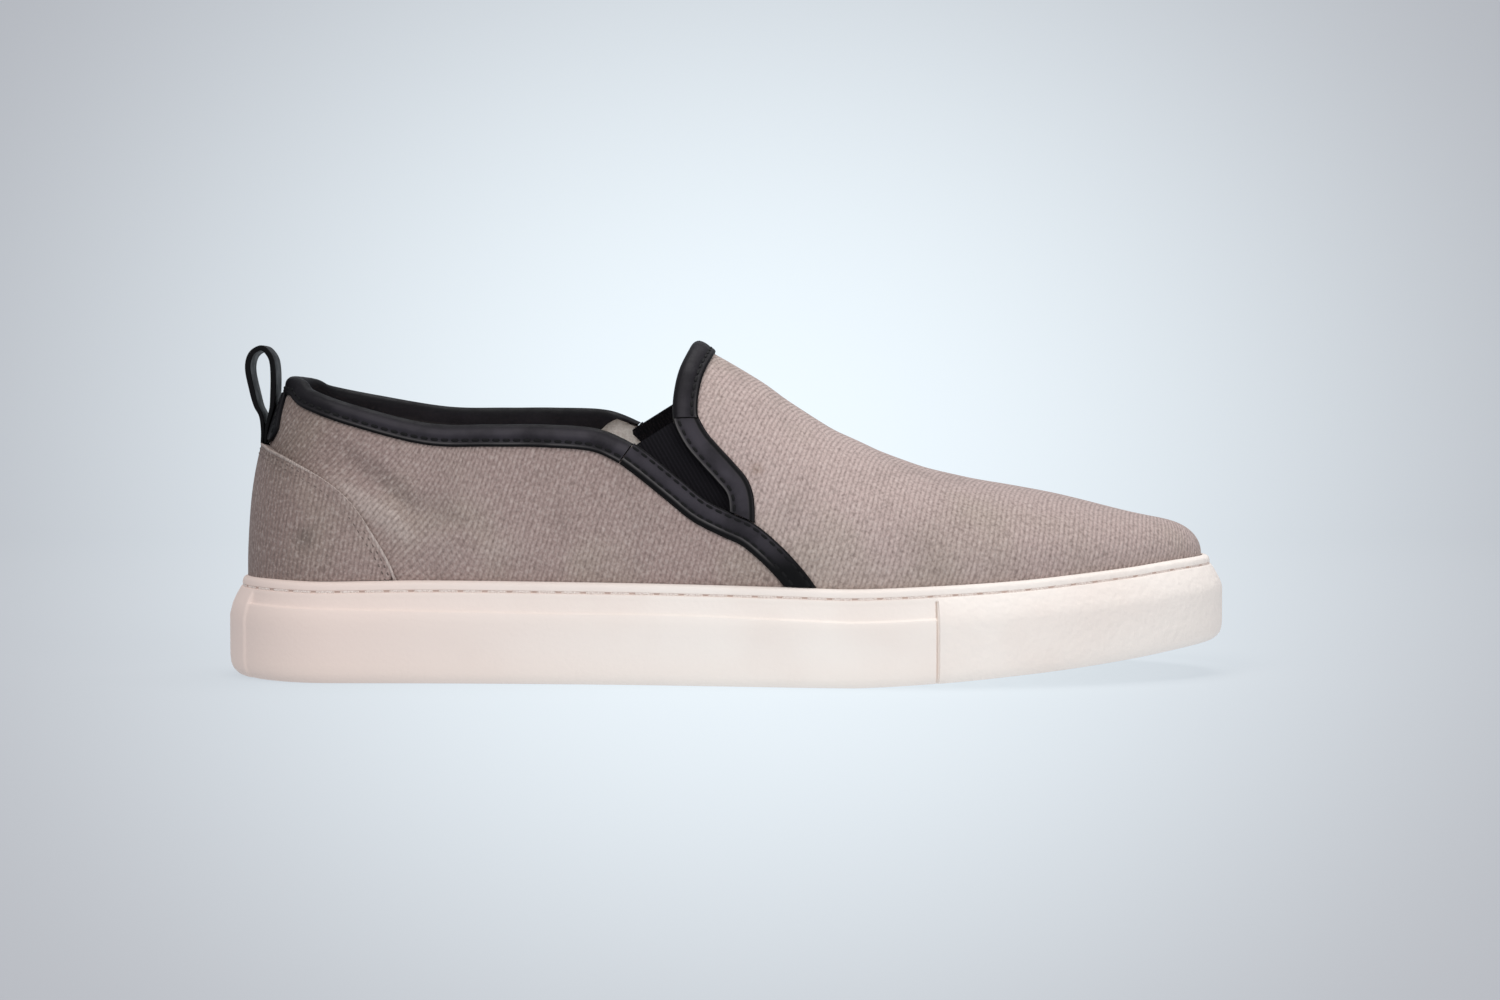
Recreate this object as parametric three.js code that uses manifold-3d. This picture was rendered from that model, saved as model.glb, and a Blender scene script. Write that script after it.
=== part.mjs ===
// A slip-on sneaker for the right foot: a canvas upper with an elastic gore at each side of the throat,
// leather bindings and facings, a pull loop at the heel, and a stitched rubber cupsole. Millimetres. +X
// points to the toe, +Y to the inner side of the foot, +Z up. The origin is on the ground, at the middle of
// the sole's length and width.
import * as THREE from "three";
import { mergeVertices } from "three/addons/utils/BufferGeometryUtils.js";
import Module from "manifold-3d";

const wasm = await Module();
wasm.setup();

// Overall sizes
const soleLength = 297.7;
const ballWidth = 104;
const heelWidth = 70;
const heelHeight = 29.5; // top of the sole's rim at the heel
const toeSpring = 10.5;
const throatHeight = 99; // canvas near the top of the throat

// Sole
const heelRound = 36; // length of the round end of the heel
const toeRound = 66; // length of the round end of the toe
const toeFullness = 2.4; // 2 is an ellipse, more is squarer
const toeShift = 6; // how far the toe leans to the inner side
const middle = 0.5; // share of the length, where the origin lies and the toe starts to lean
const shoulder = 5.6; // how far the wall leans in, from its widest place to the rim
const shoulderStart = 0.6; // share of the wall's height where it starts to lean
const shoulderCurve = 1.5;
const lipWidth = 2.3; // flat top of the rim at the heel, from the wall's edge to the canvas
const ledge = 0.8; // step along the side, above the raised side panel
const panelInset = 0.5; // how far the side panels lie behind the heel and the toe bumper
const slotWidth = 0.9; // upright slot where the toe bumper starts
const slotDepth = 0.8;
const slotPlace = 0.7; // share of the length, from the heel, where the side panels end too
const heelStepPlace = 0.026; // where the side panels start, as a share of the length
const panelTop = 0.85; // share of the wall's height that the panels and the slot reach
const seamGroove = 0.7; // depth of the groove that the sole's stitches lie in
const floorHeight = 15; // rubber under the heel
const treadDepth = 1.6;
const treadPitch = 11;
const treadWidth = 2.6;
const treadBorder = 7;
const treadSweep = 9; // how far the middle of a tread groove points forward

// Upper
const canvasWall = 1.8; // canvas and lining together
const leatherWall = 1.1;
const goreWall = 1.2;
const counterWall = 2.4; // at the back of the heel, with its stiffener
const counterEdge = 0.8; // and at its front edge
const insoleWall = 4.5;
const gap = 0.3; // clearance between neighbouring pieces
const bindingWidth = 7.1; // at the front of the collar
const bindingHeelShare = 0.82; // width at the back of the heel, as a share of it
const stripWidth = 7.2;
const stripOverhang = 1.4; // how far a strip stands over the canvas edge below it
const goreSeam = 4; // hidden edge of the gore, behind the canvas
const innerRise = 5; // how much higher the topline is at the inner side
const heelFan = 44; // how far the sections tilt together at the heel
const heelFanFade = 4; // how fast that fades from the heel
const toeFan = 23; // and at the toe
const toeFanFade = 6;
const buriedDepth = 40; // how far a form reaches down, past any floor

// Pull loop
const loopWidth = 10;
const loopStrap = 1.7;
const loopOpening = 5.9;
const loopRise = 8.5; // how far it stands above the topline
const tabWidth = 24; // patch under its ends
const tabTopWidth = 10; // and its width where it meets the collar's binding
const tabCorner = 4;

// Shape of the mesh
const stations = 30; // along each side
const ribRows = 8; // from the feather line to the crown
const curveSteps = 3; // between two rows of a side-view line
const loopSteps = 2; // between two rows of the pull loop
const cornerSteps = 4; // round a corner of the loop's patch
const sweepSteps = 200; // for measuring a curve
const lineSteps = 40; // along a line of the sole's floor or rim
const lineReach = 0.1; // how far such a line goes past each end of the sole, as a share of its length
const slotStations = [-1.4, -0.6, 0.6, 1.4]; // across the slot, in half widths
const panelStations = [-0.004, 0.004]; // across the panels' rear step, in turns
const stationClear = 0.006; // no other station lies closer to these, in turns
const mergeWithin = 1e-4;
const hair = 0.02; // corners closer together than this are made one
const needlePasses = 4;

// Half width of the sole, at a share of its length: 0 is half the heel width, 1 is half the ball width.
const widthRows = [
  { along: 0.0, outer: 0.0, inner: 0.0 },
  { along: 0.12, outer: 0.0, inner: 0.0 },
  { along: 0.25, outer: 0.06, inner: -0.05 },
  { along: 0.4, outer: 0.28, inner: -0.1 },
  { along: 0.5, outer: 0.55, inner: 0.1 },
  { along: 0.6, outer: 0.86, inner: 0.47 },
  { along: 0.68, outer: 1.0, inner: 0.82 },
  { along: 0.75, outer: 0.96, inner: 0.97 },
  { along: 0.82, outer: 0.74, inner: 0.92 },
  { along: 0.9, outer: 0.4, inner: 0.6 },
  { along: 1.0, outer: 0.05, inner: 0.1 },
];

// The sole along its length. top: rim, in heel heights. bottom: lower edge, in toe springs. ledge: top of
// the side panel, as a share of the wall's height. lip: flat top of the rim, in lip widths. floor: in floor
// heights.
const soleRows = [
  { along: 0.0, top: 1.01, bottom: 0.09, ledge: 0.75, lip: 1.0, floor: 1.0 },
  { along: 0.04, top: 1.0, bottom: 0.03, ledge: 0.75, lip: 1.0, floor: 1.0 },
  { along: 0.1, top: 0.985, bottom: 0.0, ledge: 0.743, lip: 0.95, floor: 1.0 },
  { along: 0.2, top: 0.998, bottom: 0.0, ledge: 0.716, lip: 0.6, floor: 1.0 },
  { along: 0.32, top: 0.99, bottom: 0.0, ledge: 0.703, lip: 0.45, floor: 0.93 },
  { along: 0.45, top: 0.975, bottom: 0.0, ledge: 0.707, lip: 0.45, floor: 0.8 },
  { along: 0.56, top: 0.955, bottom: 0.0, ledge: 0.687, lip: 0.45, floor: 0.68 },
  { along: 0.62, top: 0.942, bottom: 0.0, ledge: 0.677, lip: 0.45, floor: 0.62 },
  { along: 0.7, top: 0.972, bottom: 0.13, ledge: 0.675, lip: 0.45, floor: 0.64 },
  { along: 0.78, top: 1.015, bottom: 0.32, ledge: 0.675, lip: 0.45, floor: 0.74 },
  { along: 0.84, top: 1.065, bottom: 0.48, ledge: 0.675, lip: 0.4, floor: 0.86 },
  { along: 0.9, top: 1.12, bottom: 0.67, ledge: 0.675, lip: 0.35, floor: 1.0 },
  { along: 0.95, top: 1.175, bottom: 0.86, ledge: 0.675, lip: 0.3, floor: 1.14 },
  { along: 1.0, top: 1.207, bottom: 1.03, ledge: 0.675, lip: 0.3, floor: 1.26 },
];

// Rows of the sole's side wall, as shares of its height. lean: added to the shoulder's, as a share of the
// shoulder. panel: how much of the ledge's step it has, where there is one. groove: how much of the stitch
// groove's depth.
const wallRows = [
  { up: 0.0, lean: 0.42, panel: 0, groove: 0 },
  { up: 0.025, lean: 0.24, panel: 0, groove: 0 },
  { up: 0.08, lean: 0.1, panel: 0, groove: 0 },
  { up: 0.3, lean: 0.0, panel: 0, groove: 0 },
  { ledge: -0.012, lean: 0.0, panel: 0, groove: 0 },
  { ledge: 0.01, lean: 0.0, panel: 1, groove: 0 },
  { up: 0.83, lean: 0.0, panel: 0.6, groove: 0 },
  { up: 0.88, lean: 0.0, panel: 0.2, groove: 0 },
  { up: 0.9, lean: 0.0, panel: 0.1, groove: 1 },
  { up: 0.92, lean: -0.05, panel: 0, groove: 0 },
  { up: 0.965, lean: -0.16, panel: 0, groove: 0 },
];

// Crown of the canvas, seen from the side. height: in throat heights. Behind the throat it is the form
// inside a worn shoe, which only shapes the walls. full: 2 is an elliptic section, more is squarer.
const crownRows = [
  { along: 0.0, height: 1.13, full: 2.2 },
  { along: 0.178, height: 1.13, full: 2.2 },
  { along: 0.25, height: 1.15, full: 2.25 },
  { along: 0.32, height: 1.16, full: 2.25 },
  { along: 0.4, height: 1.1, full: 2.2 },
  { along: 0.469, height: 0.994, full: 2.1 },
  { along: 0.5326, height: 0.886, full: 2.06 },
  { along: 0.5766, height: 0.793, full: 2.05 },
  { along: 0.6132, height: 0.727, full: 2.07 },
  { along: 0.6861, height: 0.634, full: 2.1 },
  { along: 0.7365, height: 0.596, full: 2.12 },
  { along: 0.7899, height: 0.5675, full: 2.14 },
  { along: 0.8493, height: 0.531, full: 2.16 },
  { along: 0.9085, height: 0.484, full: 2.16 },
  { along: 1.0, height: 0.4, full: 2.16 },
];

// Side-view lines of the upper, from the heel forward. Heights are shares of the throat height. rise: how
// much of the inner side's extra height a row gets.
const toplineRows = [
  { along: -0.1, height: 0.905, rise: 0 },
  { along: 0.058, height: 0.902, rise: 0 },
  { along: 0.093, height: 0.855, rise: 0.35 },
  { along: 0.137, height: 0.81, rise: 0.7 },
  { along: 0.209, height: 0.757, rise: 1.05 },
  { along: 0.27, height: 0.7535, rise: 1.05 },
  { along: 0.32, height: 0.7535, rise: 1.05 },
  { along: 0.375, height: 0.741, rise: 1.15 },
  { along: 0.4105, height: 0.696, rise: 1.25 },
];
const rearEdgeRows = [
  { along: 0.4105, height: 0.696, rise: 1.25 },
  { along: 0.4275, height: 0.6586, rise: 1.0 },
  { along: 0.459, height: 0.583, rise: 0.45 },
  { along: 0.48, height: 0.533, rise: 0.2 },
  { along: 0.504, height: 0.4965, rise: 0 },
  { along: 0.528, height: 0.4626, rise: 0 },
  { along: 0.553, height: 0.4, rise: 0 },
  { along: 0.5745, height: 0.33, rise: 0 },
  { along: 0.5915, height: 0.26, rise: 0 },
];
const frontEdgeRows = [
  { along: 0.475, height: 1.1, rise: 0 },
  { along: 0.4665, height: 1.01, rise: 0 },
  { along: 0.4535, height: 0.921, rise: 0 },
  { along: 0.4479, height: 0.8424, rise: 0 },
  { along: 0.4473, height: 0.7788, rise: 0 },
  { along: 0.4503, height: 0.7404, rise: 0 },
  { along: 0.461, height: 0.6838, rise: 0 },
  { along: 0.4755, height: 0.6333, rise: 0 },
  { along: 0.4903, height: 0.5858, rise: 0 },
  { along: 0.5007, height: 0.5454, rise: 0 },
  { along: 0.503, height: 0.49, rise: 0 },
  { along: 0.502, height: 0.43, rise: 0 },
];
const counterRows = [
  { along: -0.1, height: 0.7 },
  { along: 0.027, height: 0.694 },
  { along: 0.056, height: 0.67 },
  { along: 0.084, height: 0.631 },
  { along: 0.112, height: 0.582 },
  { along: 0.1355, height: 0.519 },
  { along: 0.155, height: 0.435 },
  { along: 0.1725, height: 0.345 },
  { along: 0.183, height: 0.26 },
];

// The pull loop seen from the side. up: from its foot to the top of the strap's middle. near and far: how
// far its two strands stand from the middle of the loop, in half widths.
const loopRows = [
  { up: 0.0, near: 0.27, far: 0.27 },
  { up: 0.14, near: 0.38, far: 0.26 },
  { up: 0.29, near: 0.72, far: 0.08 },
  { up: 0.4, near: 0.92, far: -0.35 },
  { up: 0.58, near: 1.0, far: -0.7 },
  { up: 0.76, near: 1.0, far: -0.97 },
  { up: 0.88, near: 0.88, far: -0.9 },
  { up: 0.96, near: 0.54, far: -0.55 },
  { up: 1.0, near: 0.1, far: 0.1 },
];

// Stretches of the tread, from the heel. grooved: its chevrons, or else one shallow recess under the waist.
const treadRows = [
  { from: 0.06, to: 0.27, grooved: true },
  { from: 0.33, to: 0.47, grooved: false },
  { from: 0.52, to: 0.9, grooved: true },
];

const goreTopSlope = 0.64; // of the gore's top edge, which starts at the topline's corner
const stripJoinHeight = 0.766; // where the throat's binding ends and the front strip starts
const creaseShare = 1e-3; // step for measuring a slope
const farAway = 400; // past the shoe on every side

const { clamp, lerp, smoothstep } = THREE.MathUtils;

// A smooth curve through one column of a table, by the share of the sole's length.
function curveOf(rows, column) {
  const last = rows.length - 1;
  const slopeAt = (k) => {
    const before = rows[Math.max(k - 1, 0)];
    const after = rows[Math.min(k + 1, last)];
    return (after[column] - before[column]) / (after.along - before.along);
  };
  return (share) => {
    let k = 0;
    while (k < last - 1 && share > rows[k + 1].along) k += 1;
    const span = rows[k + 1].along - rows[k].along;
    const u = clamp((share - rows[k].along) / span, 0, 1);
    const fromLow = (1 + 2 * u) * (1 - u) ** 2 * rows[k][column] + u * (1 - u) ** 2 * span * slopeAt(k);
    const fromHigh = (3 - 2 * u) * u ** 2 * rows[k + 1][column] - (1 - u) * u ** 2 * span * slopeAt(k + 1);
    return fromLow + fromHigh;
  };
}

const widthOf = { "-1": curveOf(widthRows, "outer"), 1: curveOf(widthRows, "inner") };
const rimShare = curveOf(soleRows, "top");
const bottomShare = curveOf(soleRows, "bottom");
const ledgeShare = curveOf(soleRows, "ledge");
const lipShare = curveOf(soleRows, "lip");
const floorShare = curveOf(soleRows, "floor");
const crownShare = curveOf(crownRows, "height");
const crownFullness = curveOf(crownRows, "full");

const rimHeight = (share) => heelHeight * rimShare(share);
const bottomHeight = (share) => toeSpring * Math.max(0, bottomShare(share));
const floorAt = (share) => floorHeight * floorShare(share);
const lengthwise = (share) => (share - middle) * soleLength;
const shareOf = (x) => x / soleLength + middle;
const shareAtTurn = (turn) => (1 - Math.cos(Math.PI * turn)) / 2;
const turnAtShare = (share) => Math.acos(1 - 2 * share) / Math.PI;
const middleLine = (share) => toeShift * smoothstep(share, middle, 1);

// Sole's outline seen from above. turn is 0 at the back of the heel and 1 at the tip of the toe, and side
// is -1 on the outer side and 1 on the inner one. Past its ends a turn goes on round the other side.
function bareOutline(turn, side) {
  if (turn < 0) return bareOutline(-turn, -side);
  if (turn > 1) return bareOutline(2 - turn, -side);
  const share = shareAtTurn(turn);
  const heelEnd = Math.max(0, 1 - (share * soleLength) / heelRound);
  const toeEnd = Math.max(0, 1 - ((1 - share) * soleLength) / toeRound);
  const round = Math.sqrt(1 - heelEnd ** 2) * (1 - toeEnd ** toeFullness) ** (1 / toeFullness);
  const half = lerp(heelWidth, ballWidth, widthOf[side](share)) / 2;
  return { x: lengthwise(share), y: middleLine(share) + side * half * round };
}

const sweep = Array.from({ length: sweepSteps }, (_, k) => k / (sweepSteps - 1));
const widest = (side) => Math.max(...sweep.map((turn) => side * bareOutline(turn, side).y));
const sideShift = (widest(-1) - widest(1)) / 2;

function outlinePoint(turn, side, inset) {
  const ahead = bareOutline(turn + creaseShare, side);
  const behind = bareOutline(turn - creaseShare, side);
  const along = new THREE.Vector2(ahead.x - behind.x, ahead.y - behind.y).normalize();
  const here = bareOutline(turn, side);
  return {
    x: here.x + side * along.y * inset,
    y: here.y + sideShift - side * along.x * inset,
  };
}

// Outer face of the canvas. rise is 0 at the feather line, where it meets the sole's rim, and 1 at the crown.
function canvasPoint(turn, rise, side) {
  const share = shareAtTurn(turn);
  const foot = outlinePoint(turn, side, shoulder + lipWidth * lipShare(share));
  const footHeight = rimHeight(share);
  const crownX = foot.x + heelFan * (1 - share) ** heelFanFade - toeFan * share ** toeFanFade;
  const crownAt = shareOf(crownX);
  const crownZ = throatHeight * crownShare(crownAt);
  const crownY = middleLine(crownAt) + sideShift;
  const slope = (throatHeight * (crownShare(crownAt + creaseShare) - crownShare(crownAt - creaseShare)))
    / (2 * creaseShare * soleLength);
  const power = 2 / crownFullness(crownAt);
  const across = Math.cos((rise * Math.PI) / 2) ** power;
  const up = Math.sin((rise * Math.PI) / 2) ** power;
  const tilt = share > middle ? slope * (foot.x - crownX) * across * (1 - across) ** 2 : 0;
  return new THREE.Vector3(
    lerp(crownX, foot.x, across),
    lerp(crownY, foot.y, across),
    lerp(footHeight, crownZ, up) + tilt,
  );
}

// Solid from its corners and the triangles between them.
function solidFrom(positions, faces) {
  const geometry = new THREE.BufferGeometry();
  geometry.setAttribute("position", new THREE.Float32BufferAttribute(positions, 3));
  geometry.setIndex(faces);
  return solidOf(geometry);
}

function solidOf(geometry) {
  const bare = geometry.clone();
  bare.deleteAttribute("normal");
  bare.deleteAttribute("uv");
  const merged = mergeVertices(bare, mergeWithin);
  const kept = [];
  const index = merged.index.array;
  for (let k = 0; k < index.length; k += 3) {
    const [a, b, c] = [index[k], index[k + 1], index[k + 2]];
    if (a !== b && b !== c && c !== a) kept.push(a, b, c);
  }
  return new wasm.Manifold(
    new wasm.Mesh({
      numProp: 3,
      vertProperties: new Float32Array(merged.attributes.position.array),
      triVerts: new Uint32Array(kept),
    }),
  );
}

// The canvas's outer face as one grid of shared corners, with their normals, so that each form is an offset
// of it. Row 0 lies far below the feather line, row 1 on it, and the last row is the crown.
const rowCount = ribRows + 1;
const corners = [];
const cornerAt = (side, station, row) => {
  const shared = station === 0 || station === stations || row === rowCount;
  const flat = (station * (rowCount + 1) + row) * 2;
  return flat + (side > 0 && !shared ? 1 : 0);
};
for (let station = 0; station <= stations; station += 1) {
  for (let row = 0; row <= rowCount; row += 1) {
    for (const side of [-1, 1]) {
      const point = canvasPoint(station / stations, Math.max(row - 1, 0) / ribRows, side);
      if (row === 0) point.z -= buriedDepth;
      corners[cornerAt(side, station, row)] ??= point;
    }
  }
}
for (let k = 0; k < (stations + 1) * (rowCount + 1) * 2; k += 1) corners[k] ??= null;

const skinFaces = [];
const capFaces = [];
for (let station = 0; station < stations; station += 1) {
  for (const side of [-1, 1]) {
    for (let row = 0; row < rowCount; row += 1) {
      const a = cornerAt(side, station, row);
      const b = cornerAt(side, station + 1, row);
      const c = cornerAt(side, station + 1, row + 1);
      const d = cornerAt(side, station, row + 1);
      if (side < 0) skinFaces.push(a, b, c, a, c, d);
      else skinFaces.push(a, c, b, a, d, c);
    }
  }
  const a = cornerAt(-1, station, 0);
  const b = cornerAt(-1, station + 1, 0);
  const c = cornerAt(1, station + 1, 0);
  const d = cornerAt(1, station, 0);
  capFaces.push(a, c, b, a, d, c);
}

const cornerNormals = corners.map(() => new THREE.Vector3());
for (let k = 0; k < skinFaces.length; k += 3) {
  const [a, b, c] = skinFaces.slice(k, k + 3).map((n) => corners[n]);
  const normal = b.clone().sub(a).cross(c.clone().sub(a));
  for (const n of skinFaces.slice(k, k + 3)) cornerNormals[n].add(normal);
}
cornerNormals.forEach((normal) => normal.normalize());

// The canvas's outer form, grown by an offset or shrunk by a negative one, closed above and below. The
// offset can change to a second one, from the back of the heel to a share of the length.
function form(offset, endOffset = offset, endShare = 1) {
  const positions = corners.flatMap((corner, n) => {
    if (!corner) return [0, 0, 0];
    const here = lerp(offset, endOffset, smoothstep(shareOf(corner.x), 0, endShare));
    return corner.clone().addScaledVector(cornerNormals[n], here).toArray();
  });
  return solidFrom(positions, [...skinFaces, ...capFaces]);
}

// Side-view prism: the outline is in x and z, and it spans y from low to high.
function prism(outline, low = -farAway, high = farAway) {
  const shape = new THREE.Shape(outline.map((p) => new THREE.Vector2(p.x, p.y)));
  const geometry = new THREE.ExtrudeGeometry(shape, { depth: high - low, bevelEnabled: false });
  return solidOf(geometry.rotateX(Math.PI / 2).translate(0, high, 0));
}

// Upright prism: the outline is seen from above.
function column(outline, low, high) {
  const shape = new THREE.Shape(outline.map((p) => new THREE.Vector2(p.x, p.y)));
  const geometry = new THREE.ExtrudeGeometry(shape, { depth: high - low, bevelEnabled: false });
  return solidOf(geometry.translate(0, 0, low));
}

// Prism along the shoe: the shape is in y and z, and it spans x from low to high.
function acrossPrism(shape, low, high) {
  const settings = { depth: high - low, bevelEnabled: false, curveSegments: cornerSteps };
  const geometry = new THREE.ExtrudeGeometry(shape, settings);
  const turned = new THREE.Matrix4().makeBasis(
    new THREE.Vector3(0, 1, 0), new THREE.Vector3(0, 0, 1), new THREE.Vector3(1, 0, 0),
  );
  return solidOf(geometry.applyMatrix4(turned).translate(low, 0, 0));
}

const unite = (solids) => solids.reduce((all, next) => all.add(next));

// A side-view line through a table's rows, on the outer (-1) or the inner (1) side.
function sideLine(rows, side = -1) {
  const points = rows.map((row) => {
    const lift = side > 0 ? innerRise * (row.rise ?? 0) : 0;
    return new THREE.Vector2(lengthwise(row.along), throatHeight * row.height + lift);
  });
  return new THREE.SplineCurve(points).getPoints((rows.length - 1) * curveSteps);
}

// The line moved sideways: to the right of its direction where the distance is positive. The distance can
// change evenly along it, to a second one at its end.
function moved(line, distance, endDistance = distance) {
  return line.map((point, k) => {
    const before = line[Math.max(k - 1, 0)];
    const after = line[Math.min(k + 1, line.length - 1)];
    const along = after.clone().sub(before).normalize();
    const here = lerp(distance, endDistance, k / (line.length - 1));
    return new THREE.Vector2(point.x + along.y * here, point.y - along.x * here);
  });
}

// The band between a line moved by two distances.
const ribbon = (line, near, far) => [...moved(line, near), ...moved(line, far).reverse()];

const halfSpace = { "-1": [-farAway, 0], 1: [0, farAway] };
const sidePrism = (outline, side) => prism(outline, ...halfSpace[side]);
const above = (line) => [...line, new THREE.Vector2(farAway, farAway), new THREE.Vector2(-farAway, farAway)];
const below = (line) => [
  ...line, new THREE.Vector2(farAway, -farAway), new THREE.Vector2(-farAway, -farAway),
];
const aheadOf = (line) => [
  ...line, new THREE.Vector2(farAway, line.at(-1).y), new THREE.Vector2(farAway, line[0].y),
];
const lengthLine = (height) =>
  Array.from({ length: lineSteps + 1 }, (_, k) => {
    const share = lerp(-lineReach, 1 + lineReach, k / lineSteps);
    return new THREE.Vector2(lengthwise(share), height(clamp(share, 0, 1)));
  });

// Lines of one side: the topline, the lower edge of its binding, the gore's rear edge, which goes on down
// to the sole, and its front edge, which goes on under the rear strip. veeRear and veeFront stop where the
// two meet.
function edges(side) {
  const topline = sideLine(toplineRows, side);
  const rear = sideLine(rearEdgeRows, side);
  const front = sideLine(frontEdgeRows, side);
  const veeRear = rear.filter((p) => p.x < front.at(-1).x);
  const veeFront = front.filter((p) => p.y > veeRear.at(-1).y);
  return { topline, rear, front, veeRear, veeFront };
}
const bindingBand = (side, grow = 0) => {
  const { topline } = edges(side);
  const lower = moved(topline, bindingWidth * bindingHeelShare + grow, bindingWidth + grow);
  return sidePrism([...moved(topline, -grow), ...lower.reverse()], side);
};

// What is cut away above the topline and between the gore's edges, with the edges set back into the canvas.
function mouth(side, bindingBack, stripBack) {
  const { topline, veeRear, veeFront } = edges(side);
  const high = (point) => new THREE.Vector2(point.x, farAway);
  const collar = moved(topline, bindingBack);
  const vee = [...moved(veeRear, stripBack), ...moved(veeFront, -stripBack).reverse()];
  const overCollar = sidePrism([...collar, high(topline.at(-1)), high(collar[0])], side);
  const overVee = sidePrism([...vee, high(vee.at(-1)), high(vee[0])], side);
  return overCollar.add(overVee);
}

// Cupsole
const outerTurns = (() => {
  const even = Array.from({ length: stations + 1 }, (_, k) => k / stations);
  const half = slotWidth / soleLength / 2;
  const steps = [
    ...panelStations.map((n) => turnAtShare(heelStepPlace) + n),
    ...slotStations.map((n) => turnAtShare(slotPlace + n * half)),
  ];
  const clear = even.filter((turn) => steps.every((step) => Math.abs(step - turn) > stationClear));
  return [...clear, ...steps].sort((a, b) => a - b);
})();

function wallPoint(turn, side, row) {
  const share = shareAtTurn(turn);
  const bottom = bottomHeight(share);
  const up = row.up ?? ledgeShare(share) + row.ledge;
  const leanIn = clamp((up - shoulderStart) / (1 - shoulderStart), 0, 1) ** shoulderCurve;
  const fromSlot = Math.abs(share - slotPlace) * soleLength;
  const panelled = share < slotPlace && share > heelStepPlace ? 1 : 0;
  const slot = fromSlot < slotWidth / 2 && up < panelTop ? slotDepth : 0;
  const inset = shoulder * (leanIn + row.lean) + seamGroove * row.groove + slot
    + panelled * (ledge * row.panel + (up < panelTop ? panelInset : 0));
  return { ...outlinePoint(turn, side, Math.min(inset, shoulder)), z: lerp(bottom, rimHeight(share), up) };
}

function cupsole() {
  const rows = [...wallRows, { up: 1, lean: 0, panel: 0, groove: 0 }];
  const positions = [];
  const faces = [];
  const add = (point) => positions.push(point.x, point.y, point.z);
  const at = (side, station, row) => (station * rows.length + row) * 2 + (side > 0 ? 1 : 0);
  for (const turn of outerTurns) {
    for (const row of rows) {
      add(wallPoint(turn, -1, row));
      add(wallPoint(turn, 1, row));
    }
  }
  const top = rows.length - 1;
  for (let k = 0; k < outerTurns.length - 1; k += 1) {
    for (let row = 0; row < top; row += 1) {
      const [a, b, c, d] = [at(-1, k, row), at(-1, k + 1, row), at(-1, k + 1, row + 1), at(-1, k, row + 1)];
      faces.push(a, b, c, a, c, d);
      faces.push(a + 1, c + 1, b + 1, a + 1, d + 1, c + 1);
    }
    for (const [row, up] of [[0, false], [top, true]]) {
      const [a, b, c, d] = [at(-1, k, row), at(-1, k + 1, row), at(1, k + 1, row), at(1, k, row)];
      if (up) faces.push(a, b, c, a, c, d);
      else faces.push(a, c, b, a, d, c);
    }
  }
  const body = solidFrom(positions, faces);
  const cavity = form(gap).intersect(prism(above(lengthLine(floorAt))));
  return body.subtract(cavity).subtract(tread());
}

// Chevron grooves under the heel and the forefoot, and a shallow waist between them, inside a plain border.
function tread() {
  const turns = Array.from({ length: stations + 1 }, (_, k) => k / stations);
  const border = [
    ...turns.map((turn) => outlinePoint(turn, -1, treadBorder)),
    ...turns.map((turn) => outlinePoint(1 - turn, 1, treadBorder)).slice(1, -1),
  ];
  const field = column(border, -farAway, farAway);
  const cuts = [];
  for (const { from, to, grooved } of treadRows) {
    if (!grooved) {
      const recess = [
        { x: lengthwise(from), y: -ballWidth }, { x: lengthwise(to), y: -ballWidth },
        { x: lengthwise(to), y: ballWidth }, { x: lengthwise(from), y: ballWidth },
      ];
      cuts.push(column(recess, -farAway, treadDepth));
      continue;
    }
    const count = Math.floor(((to - from) * soleLength) / treadPitch);
    for (let k = 0; k < count; k += 1) {
      const x = lengthwise(from) + k * treadPitch;
      const chevron = [
        { x: x, y: -ballWidth }, { x: x + treadSweep, y: 0 }, { x: x, y: ballWidth },
        { x: x + treadWidth, y: ballWidth }, { x: x + treadWidth + treadSweep, y: 0 },
        { x: x + treadWidth, y: -ballWidth },
      ];
      const top = bottomHeight(shareOf(x + treadSweep / 2)) + treadDepth;
      cuts.push(column(chevron, -farAway, top));
    }
  }
  return unite(cuts).intersect(field);
}

// Upper: one wall of canvas and lining, open at the mouth and underneath.
function upper() {
  const wall = form(0).subtract(form(-canvasWall));
  const bindingBack = leatherWall + gap;
  const opened = [-1, 1].reduce(
    (rest, side) => rest.subtract(mouth(side, bindingBack, stripOverhang)),
    wall,
  );
  return opened.intersect(prism(above(lengthLine((share) => floorAt(share) + gap))));
}

const shell = (inner, outer) => form(outer).subtract(form(inner));
const leatherShell = shell(gap, gap + leatherWall);
const wrapShell = shell(-canvasWall - gap - leatherWall, gap + leatherWall);
const canvasClear = shell(-canvasWall - gap, gap);
const aboveRim = prism(above(lengthLine((share) => rimHeight(share) + gap)));

// The strip along the gore's rear edge, from the topline's corner down to the sole.
function rearStrip(side) {
  const { rear } = edges(side);
  return leatherShell.intersect(sidePrism(ribbon(rear, 0, stripWidth), side)).intersect(aboveRim);
}
const rearStripClear = (side) => sidePrism(ribbon(edges(side).rear, -gap, stripWidth + gap), side);

// The join between the throat's binding and the front strips, level across the shoe.
const joinHeight = throatHeight * stripJoinHeight;
const levelLine = (height) => [new THREE.Vector2(-farAway, height), new THREE.Vector2(farAway, height)];
const aboveJoin = prism(above(levelLine(joinHeight + gap / 2)));
const belowJoin = prism(below(levelLine(joinHeight - gap / 2)));

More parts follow.
